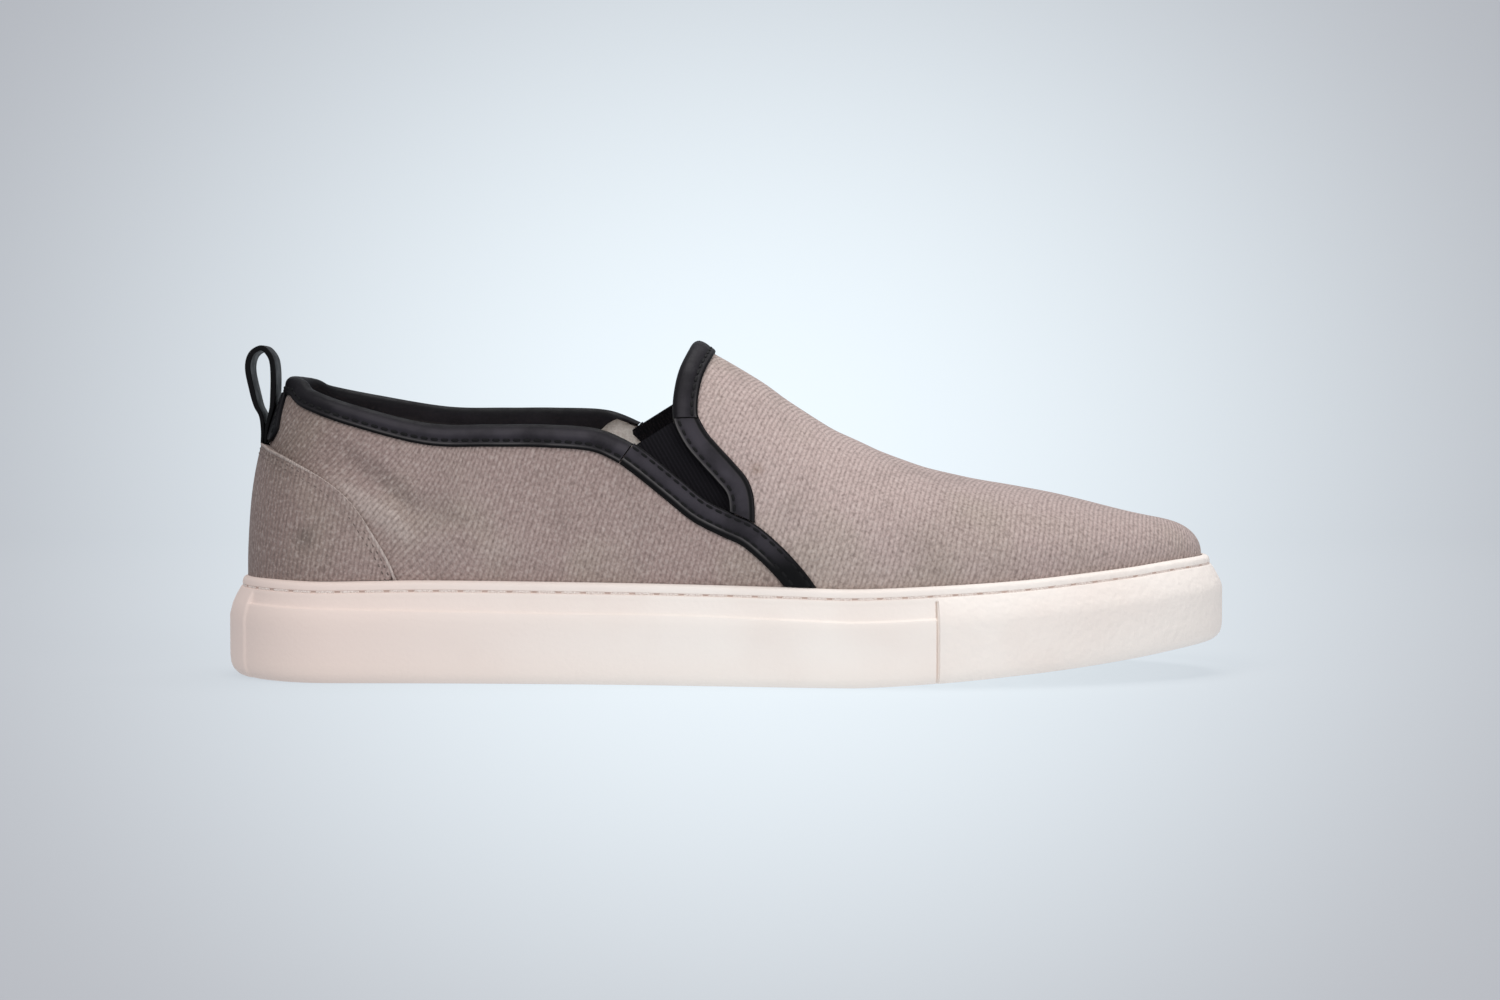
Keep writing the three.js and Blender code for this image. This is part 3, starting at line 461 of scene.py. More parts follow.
def upright(outlines, low, highs, name):
    """Closed upright prisms from outlines seen from above."""
    points, faces = [], []
    for shape, high in zip(outlines, highs):
        first, count = len(points), len(shape)
        points += [(px, py, low) for px, py in shape] + [(px, py, high) for px, py in shape]
        faces.append([first + k for k in range(count)])
        faces.append([first + count + k for k in range(count)])
        for k in range(count):
            n = (k + 1) % count
            faces.append([first + k, first + n, first + count + n, first + count + k])
    return smooth_piece(name, points, faces, rubber)


def carve(blank, cutter, operation):
    """Blank with the cutter's shape taken out of it, or only what the two share."""
    change = blank.modifiers.new("carve", "BOOLEAN")
    change.operation = operation
    change.object = cutter
    change.solver = "EXACT"
    ready = blank.evaluated_get(bpy.context.evaluated_depsgraph_get())
    carved = bpy.data.meshes.new_from_object(ready)
    blank.modifiers.clear()
    blank.data = carved
    bpy.data.objects.remove(cutter)


chevrons, tops = [], []
for start, end in ((0.06, 0.27), (0.52, 0.9)):
    for k in range(int((end - start) * LENGTH / CHEVRON_PITCH)):
        x0 = (start - 0.5) * LENGTH + CHEVRON_PITCH * k
        x1 = x0 + CHEVRON_WIDTH
        heel_edge = [(x0, -BALL_WIDTH), (x0 + CHEVRON_REACH, 0), (x0, BALL_WIDTH)]
        toe_edge = [(x1, BALL_WIDTH), (x1 + CHEVRON_REACH, 0), (x1, -BALL_WIDTH)]
        chevrons.append(heel_edge + toe_edge)
        tops.append(float(bottom_height(share_of(x0 + CHEVRON_REACH / 2))) + TREAD)
waist = [((s - 0.5) * LENGTH, y0) for s, y0 in ((0.33, -90), (0.47, -90), (0.47, 90), (0.33, 90))]
tread = upright(chevrons + [waist], -20, tops + [TREAD], "tread")
border_turn, border_side = ring(np.linspace(0, 1, 60))
border = list(zip(*outline(border_turn, border_side, 7.0)))
carve(tread, upright([border], -30, [30], "border"), "INTERSECT")
carve(cupsole_blank, tread, "DIFFERENCE")
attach(cupsole_blank, "root")
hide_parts("cupsole")

# Sole stitches: a heavy waxed thread that lies in the groove all round, and the needle holes between
# its stitches, sunk into the rubber: their darker colour is painted shadow in the holes.
STITCH_PITCH = 7.1
SOLE_STITCH = 5.7  # length of one
NEEDLE_HOLE = 2.2


def tube_faces(rows, columns):
    """Faces of a tube of corners with closed ends."""
    ends = [list(range(columns)), list(range((rows - 1) * columns, rows * columns))]
    return lattice_faces(rows, columns, round_columns=True) + ends


def pills(middles, along, out, length, width, height):
    """Points and faces of round-ended pieces of thread, each along its own direction."""
    ends = np.array((-0.5, -0.47, -0.4, -0.25, 0.25, 0.4, 0.47, 0.5))
    girth = np.array((0.12, 0.5, 0.84, 1, 1, 0.84, 0.5, 0.12))
    around = np.linspace(0, 2 * math.pi, 8, endpoint=False)
    across = np.cross(out, along)
    shape = (
        middles[:, None, None] + along[:, None, None] * (ends * length)[:, None, None]
        + (girth[:, None] * np.cos(around))[None, ..., None] * across[:, None, None] * width / 2
        + (girth[:, None] * np.sin(around))[None, ..., None] * out[:, None, None] * height / 2
    )
    count = len(ends) * len(around)
    one = tube_faces(len(ends), len(around))
    faces = [[first * count + n for n in face] for first in range(len(middles)) for face in one]
    return shape.reshape(-1, 3), faces


def stitch_frames(line, outs, pitch, shift=0.0, closed=False):
    """Middles, directions and outward directions of stitches at an even pitch along a polyline."""
    if closed:
        line, outs = np.vstack([line, line[:1]]), np.vstack([outs, outs[:1]])
    run = np.concatenate([[0], np.cumsum(np.linalg.norm(np.diff(line, axis=0), axis=1))])
    count = max(2, int(round(run[-1] / pitch)))
    middle = (np.arange(count) + 0.5) / count * run[-1] + shift

    def at(values, distance):
        return np.stack([np.interp(distance, run, values[:, k]) for k in range(3)], -1)

    along = at(line, middle + 0.4) - at(line, middle - 0.4)
    along /= np.linalg.norm(along, axis=1)[:, None]
    out = at(outs, middle)
    out -= along * (out * along).sum(1)[:, None]
    out /= np.linalg.norm(out, axis=1)[:, None]
    return at(line, middle), along, out


turn, side = ring(np.linspace(0, 1, 700))
share = share_at(turn)
x, y = outline(turn, side, wall_inset(GROOVE_UP, share) - 0.18)
base = bottom_height(share)
groove_line = np.stack([x, y, base + (rim_height(share) - base) * GROOVE_UP], -1)
far_x, far_y = outline(turn, side, -20.0)
outward = np.stack([far_x - x, far_y - y, 0 * x], -1)
outward /= np.linalg.norm(outward, axis=1)[:, None]

waxed = Finish("waxed_thread", 0.6)
twist = waxed.noise(waxed.place(2600.0), 1.0)
waxed.colour(waxed.mix(twist.between(0.35, 0.65), tone(214, 196, 187), tone(240, 228, 220)))
waxed.bump(twist, 0.0001)
thread_frames = stitch_frames(groove_line, outward, STITCH_PITCH, closed=True)
sole_stitches = smooth_piece("sole_stitches", *pills(*thread_frames, SOLE_STITCH, 0.95, 0.8), waxed)
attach(sole_stitches, "root")

# The holes' colour is painted shadow, darker than the rubber round them.
hole_shadow = Finish("needle_hole_shadow", 0.9)
hole_shadow.colour(hole_shadow.mix(hole_shadow.noise(hole_shadow.place(900.0)), tone(184, 158, 147), tone(212, 188, 177)))
hole_line = groove_line - outward * 0.12
hole_frames = stitch_frames(hole_line, outward, STITCH_PITCH, STITCH_PITCH / 2 - 0.01, closed=True)
sole_holes = smooth_piece("sole_needle_hole_shadows", *pills(*hole_frames, NEEDLE_HOLE, 0.85, 0.5), hole_shadow)
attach(sole_holes, "root")

# Insole: a thin foam footbed faced with the lining's light cloth, slightly dished, with soft edges. It is
# cut to the cup's shape and lies on its floor.
INSOLE_WALL = 4.5
CANVAS_WALL = 1.8
turns = np.concatenate([[0.004, 0.012], np.linspace(0.03, 0.97, 90), [0.988, 0.996]])
share = share_at(turns)[:, None]
inset = SHOULDER + LIP * lip_share(share) + CANVAS_WALL + GAP + 0.1
outer_x, outer_y = outline(turns[:, None], -1, inset)
inner_x, inner_y = outline(turns[:, None], 1, inset)
across = np.concatenate([[-1, -0.997, -0.985, -0.96], np.linspace(-0.9, 0.9, 15), [0.96, 0.985, 0.997, 1]])
dish = 0.5 * (1 - np.abs(across) ** 3)
edge = np.interp(np.abs(across), (0.9, 0.96, 0.985, 0.997, 1), (0, 0.12, 0.4, 0.8, 1.3))
blend = np.concatenate([across, across[::-1]])[None] / 2 + 0.5
lift = np.concatenate([INSOLE_WALL - dish - edge, 0.12 + 0 * across])[None]
x = outer_x + (inner_x - outer_x) * blend
y = outer_y + (inner_y - outer_y) * blend
z = floor_at(share) + GAP + lift
insole_points = np.stack([x, y, z], -1).reshape(-1, 3)

lining = Finish("light_lining", 0.92, Sheen_Weight=0.1)
threads = lining.noise(lining.place((1400.0, 260.0, 1400.0)))
cross_threads = lining.noise(lining.place((260.0, 1400.0, 260.0)))
cloth = (threads + cross_threads) * 0.5
rubbed = lining.noise(lining.place(45.0))
woven = lining.mix(cloth.between(0.38, 0.62), tone(224, 215, 208), tone(246, 240, 234))
lining.colour(lining.mix(rubbed.between(0.5, 0.75) * 0.35, woven, tone(232, 226, 217)))
lining.bump(cloth, 0.0002)
insole = smooth_piece("insole_footbed", insole_points, tube_faces(len(turns), blend.shape[1]), lining, 60)
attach(insole, "root")
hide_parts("insole")

# Upper: heathered canvas, cut as a vamp and two quarters, with a light lining glued behind it. Its edges at
# the collar and the gores end inside the leather, and its lower edge runs down into the sole's cup.
THROAT = 99
CANVAS_SKIN = 0.9  # the canvas alone, without its lining
LEATHER = 1.1
JOIN_HEIGHT = THROAT * 0.766  # where the throat's binding ends and the front strips start

crown_share, crown_full = curves([
    (0, 1.13, 2.2), (0.178, 1.13, 2.2), (0.25, 1.15, 2.25), (0.32, 1.16, 2.25), (0.4, 1.1, 2.2),
    (0.469, 0.994, 2.1), (0.5326, 0.886, 2.06), (0.5766, 0.793, 2.05), (0.6132, 0.727, 2.07),
    (0.6861, 0.634, 2.1), (0.7365, 0.596, 2.12), (0.7899, 0.5675, 2.14), (0.8493, 0.531, 2.16),
    (0.9085, 0.484, 2.16), (1, 0.4, 2.16),
])
topline_rows = [
    (-0.1, 0.905, 0), (0.058, 0.902, 0), (0.093, 0.855, 0.35), (0.137, 0.81, 0.7), (0.209, 0.757, 1.05),
    (0.27, 0.7535, 1.05), (0.32, 0.7535, 1.05), (0.375, 0.741, 1.15), (0.4105, 0.696, 1.25),
]
rear_rows = [
    (0.4105, 0.696, 1.25), (0.4275, 0.6586, 1), (0.459, 0.583, 0.45), (0.48, 0.533, 0.2), (0.504, 0.4965, 0),
    (0.528, 0.4626, 0), (0.553, 0.4, 0), (0.5745, 0.33, 0), (0.5915, 0.26, 0),
]
front_rows = [
    (0.475, 1.1, 0), (0.4665, 1.01, 0), (0.4535, 0.921, 0), (0.4479, 0.8424, 0), (0.4473, 0.7788, 0),
    (0.4503, 0.7404, 0), (0.461, 0.6838, 0), (0.4755, 0.6333, 0), (0.4903, 0.5858, 0), (0.5007, 0.5454, 0),
    (0.503, 0.49, 0), (0.502, 0.43, 0),
]


def side_line(rows, side, steps=8):
    """Smooth line through a table's rows, seen from the side. The inner side's topline is higher."""
    table = np.array(rows, float)
    places = np.stack([(table[:, 0] - 0.5) * LENGTH, THROAT * table[:, 1] + (side > 0) * 5 * table[:, 2]], -1)
    padded = np.vstack([places[:1], places, places[-1:]])
    u = np.arange(steps)[:, None] / steps
    parts = []
    for k in range(len(places) - 1):
        p0, p1, p2, p3 = padded[k : k + 4]
        parts.append(((2 * p1) + (p2 - p0) * u + (2 * p0 - 5 * p1 + 4 * p2 - p3) * u**2
                      + (3 * p1 - p0 - 3 * p2 + p3) * u**3) / 2)
    return np.vstack(parts + [places[-1:]])


def moved(line, distance, end_distance=None):
    """The line moved to the right of its direction, evenly more or less towards its end."""
    along = np.gradient(line, axis=0)
    along /= np.linalg.norm(along, axis=1)[:, None]
    end = distance if end_distance is None else end_distance
    here = np.linspace(distance, end, len(line))
    return np.stack([line[:, 0] + along[:, 1] * here, line[:, 1] - along[:, 0] * here], -1)


toplines = {side: side_line(topline_rows, side) for side in (-1, 1)}
rears = {side: side_line(rear_rows, side) for side in (-1, 1)}
front = side_line(front_rows, -1)


def canvas(turn, rise, side):
    """Outer face of the canvas. rise is 0 at the feather line and 1 at the crown, and less is in the cup."""
    turn, rise, side = np.broadcast_arrays(*(np.asarray(a, float) for a in (turn, rise, side)))
    side = np.where(rise > 1, -side, side)
    rise = np.where(rise > 1, 2 - rise, rise)
    share = share_at(turn)
    inset = SHOULDER + LIP * lip_share(share)
    foot_x, foot_y = outline(turn, side, inset)
    far_x, _ = outline(turn, -side, inset)
    crown_x = (foot_x + far_x) / 2 + 44 * (1 - share) ** 4 - 23 * share**6
    crown_at = crown_x / LENGTH + 0.5
    crown_z = THROAT * crown_share(crown_at)
    crown_y = middle_line(crown_at) + SIDE_SHIFT
    slope = THROAT * (crown_share(crown_at + 1e-3) - crown_share(crown_at - 1e-3)) / (2e-3 * LENGTH)
    power = 2 / crown_full(crown_at)
    angle = np.clip(rise, 0, 1) * np.pi / 2
    across = np.abs(np.cos(angle)) ** power
    up = np.sin(angle) ** power
    tilt = np.where(share > 0.5, slope * (foot_x - crown_x) * across * (1 - across) ** 2, 0)
    rim = rim_height(share)
    z = rim + (crown_z - rim) * up + tilt + 40 * np.minimum(rise, 0)
    return np.stack([crown_x + (foot_x - crown_x) * across, crown_y + (foot_y - crown_y) * across, z], -1)


# Soft folds of the quarters and the vamp, seen from the side: place, direction in degrees, length, width
# and height in millimetres.
folds = [
    (-107, 53, -34, 13, 3.2, 1.0), (-95, 45, -50, 9, 2.6, 0.7), (-99, 58.5, -38, 17, 3.4, -0.8),
    (-76, 47, -27, 8, 3, -0.45), (-83, 41, -60, 7, 4, 0.5), (-70, 50, -75, 14, 6, 0.35),
    (-48, 44, -80, 12, 5, -0.3), (-62, 38, 12, 20, 4, 0.3), (-30, 42, 60, 12, 5, 0.3),
    (-125, 50, 78, 12, 3.5, 0.25),
    (8, 62, 70, 13, 5, 0.3), (24, 58, 62, 12, 5, -0.3), (42, 52, 50, 14, 5, 0.28), (60, 44, 40, 14, 6, -0.25),
    (82, 42, 30, 12, 6, 0.22), (14, 78, 65, 10, 4, -0.22), (36, 66, 55, 12, 4, 0.2),
]


def folded(points, side):
    """How far the canvas stands out from its plain form."""
    total = np.zeros(len(points))
    for px, pz, degrees, length, width, height in folds:
        dx = points[:, 0] - px - (side > 0) * 3.5
        dz = points[:, 2] - pz - (side > 0) * 1.5
        c, s = math.cos(math.radians(degrees)), math.sin(math.radians(degrees))
        total += height * np.exp(-((dx * c + dz * s) / length) ** 2 - ((dz * c - dx * s) / width) ** 2)
    x, z = points[:, 0], points[:, 2]
    total += 0.12 * np.sin(x / 9 + z / 13) * np.sin(z / 7.5 - x / 21)
    return total * ramp(z - rim_height(share_of(x)), 1.5, 9)


def skin(turn, rise, side):
    """Places on the canvas and the directions out of it."""
    step = 2e-3
    turn, rise, side = np.broadcast_arrays(turn, rise, side)
    here = canvas(turn, rise, side)
    along = canvas(turn + step, rise, side) - canvas(turn - step, rise, side)
    low = np.maximum(rise, 0)
    up = canvas(turn, low + step, side) - canvas(turn, np.maximum(low - step, 0), side)
    out = np.cross(along, up) * -np.asarray(side, float)[..., None]
    return here, out / np.linalg.norm(out, axis=-1)[..., None]


VAMP_LEAN = math.radians(72)  # direction of the vamp's ribs


def quarter_lean(along):
    """Direction of the quarter's ribs, which lean more towards the heel."""
    return np.radians(52 + 24 * ramp(along, -100, -70))


lean_at = np.linspace(-260, 260, 521)
lean_sums = np.cumsum(np.sin(quarter_lean(lean_at)))


def weave_of(grid, side):
    """Cloth coordinates of a grid of places, along and across the shoe in millimetres."""
    run = np.linalg.norm(np.diff(grid, axis=0), axis=2)
    along = np.vstack([np.zeros((1, grid.shape[1])), np.cumsum(run, axis=0)])
    along -= along[grid.shape[0] // 2]
    girth = np.linalg.norm(np.diff(grid[:, ::-1], axis=1), axis=2)
    across = np.hstack([np.zeros((grid.shape[0], 1)), np.cumsum(girth, axis=1)])[:, ::-1]
    rear = moved(rears[side], 3.6)
    quarter = grid[..., 0] < np.interp(-grid[..., 2], -rear[:, 1], rear[:, 0])
    turned = np.where(quarter, quarter_lean(along), VAMP_LEAN)
    level = np.where(quarter, -(across - 72), side * across)
    ribs = np.where(quarter, np.interp(along, lean_at, lean_sums), along * math.sin(VAMP_LEAN))
    u = ribs - level * np.cos(turned)
    v = level * np.sin(turned) + along * np.cos(turned)
    return np.stack([u, v, 1.0 - quarter], -1)


def skin_grid(turn_count, rise_count, depth):
    """Grid over both sides of the form, down into the cup: turn, rise, side and cloth coordinates of each
    corner, and its faces."""
    turns = np.linspace(0, 1, turn_count)
    rises = np.concatenate([[-1, -0.4], np.linspace(0, 1, rise_count)])
    total = turn_count * len(rises)
    data, index = [], {}
    for side in (-1, 1):
        turn, rise = np.meshgrid(turns, rises, indexing="ij")
        deep = (rim_height(share_at(turn)) - floor_at(share_at(turn)) - depth) / 40
        rise = np.where(rise < 0, rise * deep, rise)
        weave = weave_of(canvas(turn, rise, side), side)
        data.append(np.concatenate([turn[..., None], rise[..., None], 0 * rise[..., None] + side, weave], -1))
        index[side] = np.arange(total).reshape(turn.shape) + (side > 0) * total
    index[1][[0, -1]] = index[-1][[0, -1]]
    index[1][:, -1] = index[-1][:, -1]
    faces = []
    for side in (-1, 1):
        n = index[side]
        quads = np.stack([n[:-1, :-1], n[1:, :-1], n[1:, 1:], n[:-1, 1:]], -1).reshape(-1, 4)
        faces.append(quads if side < 0 else quads[:, ::-1])
    return np.concatenate([d.reshape(-1, 6) for d in data]), np.vstack(faces)


def clipped(data, faces, keep):
    """The part of a grid where keep is positive, with its edge moved onto the line where keep is 0."""
    value = keep(canvas(*data[:, :3].T), data[:, 2])
    pairs = np.unique(np.sort(np.vstack([faces[:, [k, (k + 1) % 4]] for k in range(4)]), axis=1), axis=0)
    a, b = pairs[(value[pairs[:, 0]] > 0) != (value[pairs[:, 1]] > 0)].T
    step = value[a] / (value[a] - value[b])
    near, far = np.where(step < 0.5, a, b), np.where(step < 0.5, b, a)
    step = np.minimum(step, 1 - step)
    order = np.argsort(-step)
    near, far, step = near[order], far[order], step[order]
    data, value = data.copy(), value.copy()
    target = data[near] + step[:, None] * (data[far] - data[near])
    target[:, 2] = np.where(np.abs(data[far, 2] - data[near, 2]) > 1, data[far, 2], data[near, 2])
    data[near] = target
    value[near] = 0
    kept = []
    for face, levels in zip(faces.tolist(), value[faces]):
        inside = [n for n, level in zip(face, levels) if level >= 0]
        if len(inside) > 2 and levels.max() > 0:
            kept.append(inside)
    used = np.unique(np.concatenate([np.array(face) for face in kept]))
    fresh = np.zeros(len(data), int)
    fresh[used] = np.arange(len(used))
    return data[used], [[int(fresh[n]) for n in face] for face in kept]


def closed_shell(outside, inside, faces):
    """Points and faces of a sheet with a thickness, from its outer and its inner face."""
    count = len(outside)
    links = {(face[k], face[(k + 1) % len(face)]) for face in faces for k in range(len(face))}
    walls = [[b, a, a + count, b + count] for a, b in links if (b, a) not in links]
    back = [[n + count for n in reversed(face)] for face in faces]
    return np.vstack([outside, inside]), faces + back + walls


def off_mouth(back):
    """Cuts out the collar's opening and the gap between the gore's edges, a distance back from the edge."""

    def keep(points, side):
        level = np.empty(len(points))
        for which in (-1, 1):
            mine = side == which
            x, z = points[mine, 0], points[mine, 2]
            top, rear, ahead = moved(toplines[which], back), moved(rears[which], back), moved(front, -back)
            corner = rear[0, 0]
            over_collar = np.where(x < corner, z - np.interp(x, top[:, 0], top[:, 1]), -99)
            from_rear = x - np.where(z > rear[0, 1], corner, np.interp(-z, -rear[:, 1], rear[:, 0]))
            in_vee = np.minimum(from_rear, np.interp(-z, -ahead[:, 1], ahead[:, 0]) - x)
            level[mine] = -np.maximum(over_collar, np.where(z > ahead[-1, 1], in_vee, -99))
        return level

    return keep


def sheet_between(turn_count, rise_count, keep, outside, inside):
    """Closed sheet over the form between two distances from the canvas's face, clipped by keep: its points,
    faces, cloth coordinates and folds."""
    data, faces = clipped(*skin_grid(turn_count, rise_count, GAP + 0.1), keep)
    turn, rise, side = data[:, :3].T
    place, out = skin(turn, rise, side)
    wave = folded(place, side)[:, None]
    outside = outside(place)[:, None] if callable(outside) else outside
    points, faces = closed_shell(place + out * (wave + outside), place + out * (wave + inside), faces)
    cloth = np.vstack([data[:, 3:], data[:, 3:]])
    return points, faces, cloth, np.hstack([np.vstack([wave, wave]), 0 * cloth[:, :2]])


greige = Finish("greige_canvas", 0.95, Sheen_Weight=0.12, Specular_IOR_Level=0.2)
RIB_PITCH = 1.34
PICK_PITCH = 1.7
cloth = greige.corners("weave")
u_mm, v_mm, vamp_and_fold_highlight = greige.axes(cloth)
wobble = greige.noise(greige.place(160.0)) * 1.1 + greige.noise(greige.place(520.0), 1.0) * 0.6
rib = u_mm.maths("COSINE", u_mm * (math.pi / RIB_PITCH) + wobble)
pick = v_mm.maths("COSINE", v_mm * (math.pi / PICK_PITCH) + wobble)
weaving = rib * pick
warp = (abs(rib) ** 0.8) * (weaving * 0.26 + 0.74)
weft = (abs(pick) ** 0.8) * (0.36 - weaving * 0.26)
# The yarns' height, for the bump and for painted shade in the weave's valleys.
relief_and_painted_light = warp.maths("MAXIMUM", warp, weft)
warp_yarn = greige.noise(greige.scaled(cloth, (0.9, 0.5, 1.0)))
weft_yarn = greige.noise(greige.scaled(cloth, (0.5, 0.7, 1.0)))
heather = warp_yarn * 0.65 + weft_yarn * 0.35
patch = greige.noise(greige.place(24.0))
stain = greige.noise(greige.place(55.0), 3.0)
speckle = greige.noise(greige.place(1150.0), 1.0)
along_shoe, _, up_shoe = greige.axes(greige.place())
ground = greige.mix(vamp_and_fold_highlight, tone(171, 149, 143), tone(195, 174, 168))
ground = greige.mix(patch.between(0.46, 0.66) * 0.45, ground, tone(178, 165, 150))
ground = greige.mix(stain.between(0.5, 0.8) * 0.35, ground, tone(136, 120, 114))
# Darker towards the sole's rim, towards the heel's back and the toe, and just under the collar at the heel.
ground = greige.mix(up_shoe.between(0.03, 0.042, 0.1, 0.0), ground, tone(128, 110, 104))
ground = greige.mix(along_shoe.between(-0.155, -0.085, 0.6, 0.0), ground, tone(98, 79, 70))
by_collar = along_shoe.between(-0.135, -0.1, 0.35, 0.0) * up_shoe.between(0.055, 0.07)
ground = greige.mix(by_collar, ground, tone(90, 74, 64))
ground = greige.mix(along_shoe.between(0.025, 0.08, 0.0, 0.16), ground, tone(134, 116, 112))
# Painted light on the folds: their crests are painted lighter, as a highlight, and their hollows darker, as
# painted shade.
fold_shading, _, _ = greige.axes(greige.corners("fold"))
ground = greige.mix(fold_shading.between(0.1, 0.9) * 0.45, ground, tone(202, 186, 178))
ground = greige.mix(fold_shading.between(-0.7, -0.08, 0.45, 0.0), ground, tone(112, 97, 92))
smudges = [  # place seen from the outer side and reach in millimetres, and colour
    (-124.4, 41.9, 5.5, tone(72, 68, 62)),
    (7.2, 61.5, 3.0, tone(120, 88, 66)),
    (10.3, 30.5, 1.2, tone(60, 48, 44)),
]
for x_mm, z_mm, reach, shade in smudges:
    upwards = canvas(float(turn_at(share_of(x_mm))), np.linspace(0, 0.9, 180), -1)
    middle = upwards[np.argmin(np.abs(upwards[:, 2] - z_mm))] * MM
    ends = {0: greige.place(), 1: tuple(middle)}
    away = greige.node("ShaderNodeVectorMath", {"operation": "DISTANCE"}, ends, "Value")
    ground = greige.mix(away.between(0.0, reach * MM, 0.5, 0.0), ground, shade)
ground = greige.mix(heather.between(0.5, 0.66) * 0.2, ground, tone(214, 202, 194))
ground = greige.mix(heather.between(0.34, 0.5, 0.36, 0.0), ground, tone(112, 99, 93))
# Painted highlight on the counter's folded edge, whose corners carry 2.2 as their third cloth number.
ground = greige.mix(vamp_and_fold_highlight.between(1.4, 2.0) * 0.45, ground, tone(206, 193, 185))
ground = greige.mix(speckle.between(0.52, 0.68) * 0.18, ground, tone(222, 208, 200))
ground = greige.mix(speckle.between(0.34, 0.47, 0.24, 0.0), ground, tone(104, 88, 82))
# Painted shade in the weave's valleys: the low places between the yarns are darker.
greige.colour(greige.mix(relief_and_painted_light.between(0.1, 0.75, 0.35, 0.0), ground, tone(92, 77, 72)))
greige.bump(relief_and_painted_light + heather * 0.5, 0.0003)

points, faces, weave, crests = sheet_between(250, 66, off_mouth(LEATHER + GAP), 0.0, -CANVAS_SKIN)
upper = smooth_piece("upper_canvas", points, faces, greige, 50)
add_corners(upper, "weave", weave)
add_corners(upper, "fold", crests)
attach(upper, "root")
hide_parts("upper")

lining_edge = off_mouth(LEATHER + GAP + 0.2)
points, faces, _, _ = sheet_between(150, 40, lining_edge, -CANVAS_SKIN - 0.03, -CANVAS_WALL)
upper_lining = smooth_piece("upper_lining", points, faces, lining, 50)
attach(upper_lining, "root")

# Heel counter: a second layer of canvas over a stiffener round the back of the heel, with its front edge
# folded under and sewn down with two rows of dark thread.
counter_rows = [
    (-0.1, 0.7, 0), (0.027, 0.694, 0), (0.056, 0.67, 0), (0.084, 0.631, 0), (0.112, 0.582, 0),
    (0.1355, 0.519, 0), (0.155, 0.435, 0), (0.1725, 0.345, 0), (0.183, 0.26, 0),
]
counter_line = side_line(counter_rows, -1)
COUNTER_TURN = math.radians(30)  # how much steeper its ribs are than those of the quarter in front of it
COUNTER_SHIFT = 41  # how far its ribs are out of step with the quarter's
COUNTER_END = 0.179  # where its edge meets the sole, as a share of the length
STIFFENER_END = 0.1725
STITCH_END = 0.172


def counter_face(place):
    """How far the counter's face stands off the canvas: more at the back, where the stiffener is."""
    return GAP + 2.4 - 1.6 * ramp(share_of(place[..., 0]), 0, STIFFENER_END)


def on_counter(points, side):
    below = np.interp(points[:, 0], counter_line[:, 0], counter_line[:, 1]) - points[:, 2]
    return np.minimum(below, points[:, 2] - rim_height(share_of(points[:, 0])) - 0.1)


points, faces, weave, crests = sheet_between(250, 66, on_counter, counter_face, GAP)
heel_counter = smooth_piece("heel_counter_canvas", points, faces, greige, 50)
u, v = weave[:, 0] + COUNTER_SHIFT, weave[:, 1].copy()
weave[:, 0] = u * math.cos(COUNTER_TURN) + v * math.sin(COUNTER_TURN)
weave[:, 1] = v * math.cos(COUNTER_TURN) - u * math.sin(COUNTER_TURN)
add_corners(heel_counter, "weave", weave)
add_corners(heel_counter, "fold", crests * 0.5)
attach(heel_counter, "root")
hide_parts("heel_counter")


def rise_on(line, turn, side):
    """Rise at which the canvas crosses a side-view line, at each turn."""
    low, high = np.zeros(turn.shape), np.ones(turn.shape)
    for _ in range(22):
        rise = (low + high) / 2
        place = canvas(turn, rise, side)
        over = place[..., 2] > np.interp(place[..., 0], line[:, 0], line[:, 1])
        low, high = np.where(over, low, rise), np.where(over, rise, high)
    return low


def swept(name, turn, rise, side, stand, finish, sharp=40):
    """Closed piece whose section's corners lie on the canvas at turn and rise, and stand off it."""
    place, out = skin(turn, rise, side)
    points = place + out * stand[..., None]
    return smooth_piece(name, points.reshape(-1, 3), tube_faces(*turn.shape), finish, sharp)


def around_heel(line, end_turn, count):
    """Turn, rise and side along a side-view line, from the outer side round the heel to the inner one."""
    half = np.linspace(1, 0, count) * end_turn
    turn = np.concatenate([half, half[-2::-1]])
    side = np.concatenate([-np.ones(count), np.ones(count - 1)])
    return turn, rise_on(line, turn, side), side


fold_backs = (0.0, -0.18, -0.13, 0.12, 0.4, 0.64, 0.7)
fold_stand = np.array((-0.3, -0.05, 0.14, 0.24, 0.2, 0.05, -0.3))
corners = [around_heel(moved(counter_line, back), float(turn_at(COUNTER_END)), 120) for back in fold_backs]
turn, rise, side = (np.stack(values, -1) for values in zip(*corners))
stand = counter_face(canvas(turn, rise, side)) + fold_stand
counter_fold = swept("counter_folded_edge", turn, rise, side, stand, greige, 60)
fold_run = np.broadcast_to(np.linspace(-90, 90, turn.shape[0])[:, None], turn.shape)
# The third cloth number, 2.2, marks the folded edge for a painted highlight in the canvas's colour.
add_corners(counter_fold, "weave", np.stack([fold_run, 0 * turn, 0 * turn + 2.2], -1).reshape(-1, 3))
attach(counter_fold, "root")

brown_thread = Finish("brown_thread", 0.8)
brown_thread.colour(brown_thread.mix(
    brown_thread.noise(brown_thread.place(900.0)), tone(88, 76, 71), tone(124, 108, 101)))


def joined(rows):
    """Points and faces of rows of stitches as one mesh."""
    points, faces = np.zeros((0, 3)), []
    for row_points, row_faces in rows:
        faces += [[n + len(points) for n in face] for face in row_faces]
        points = np.vstack([points, row_points])
    return points, faces


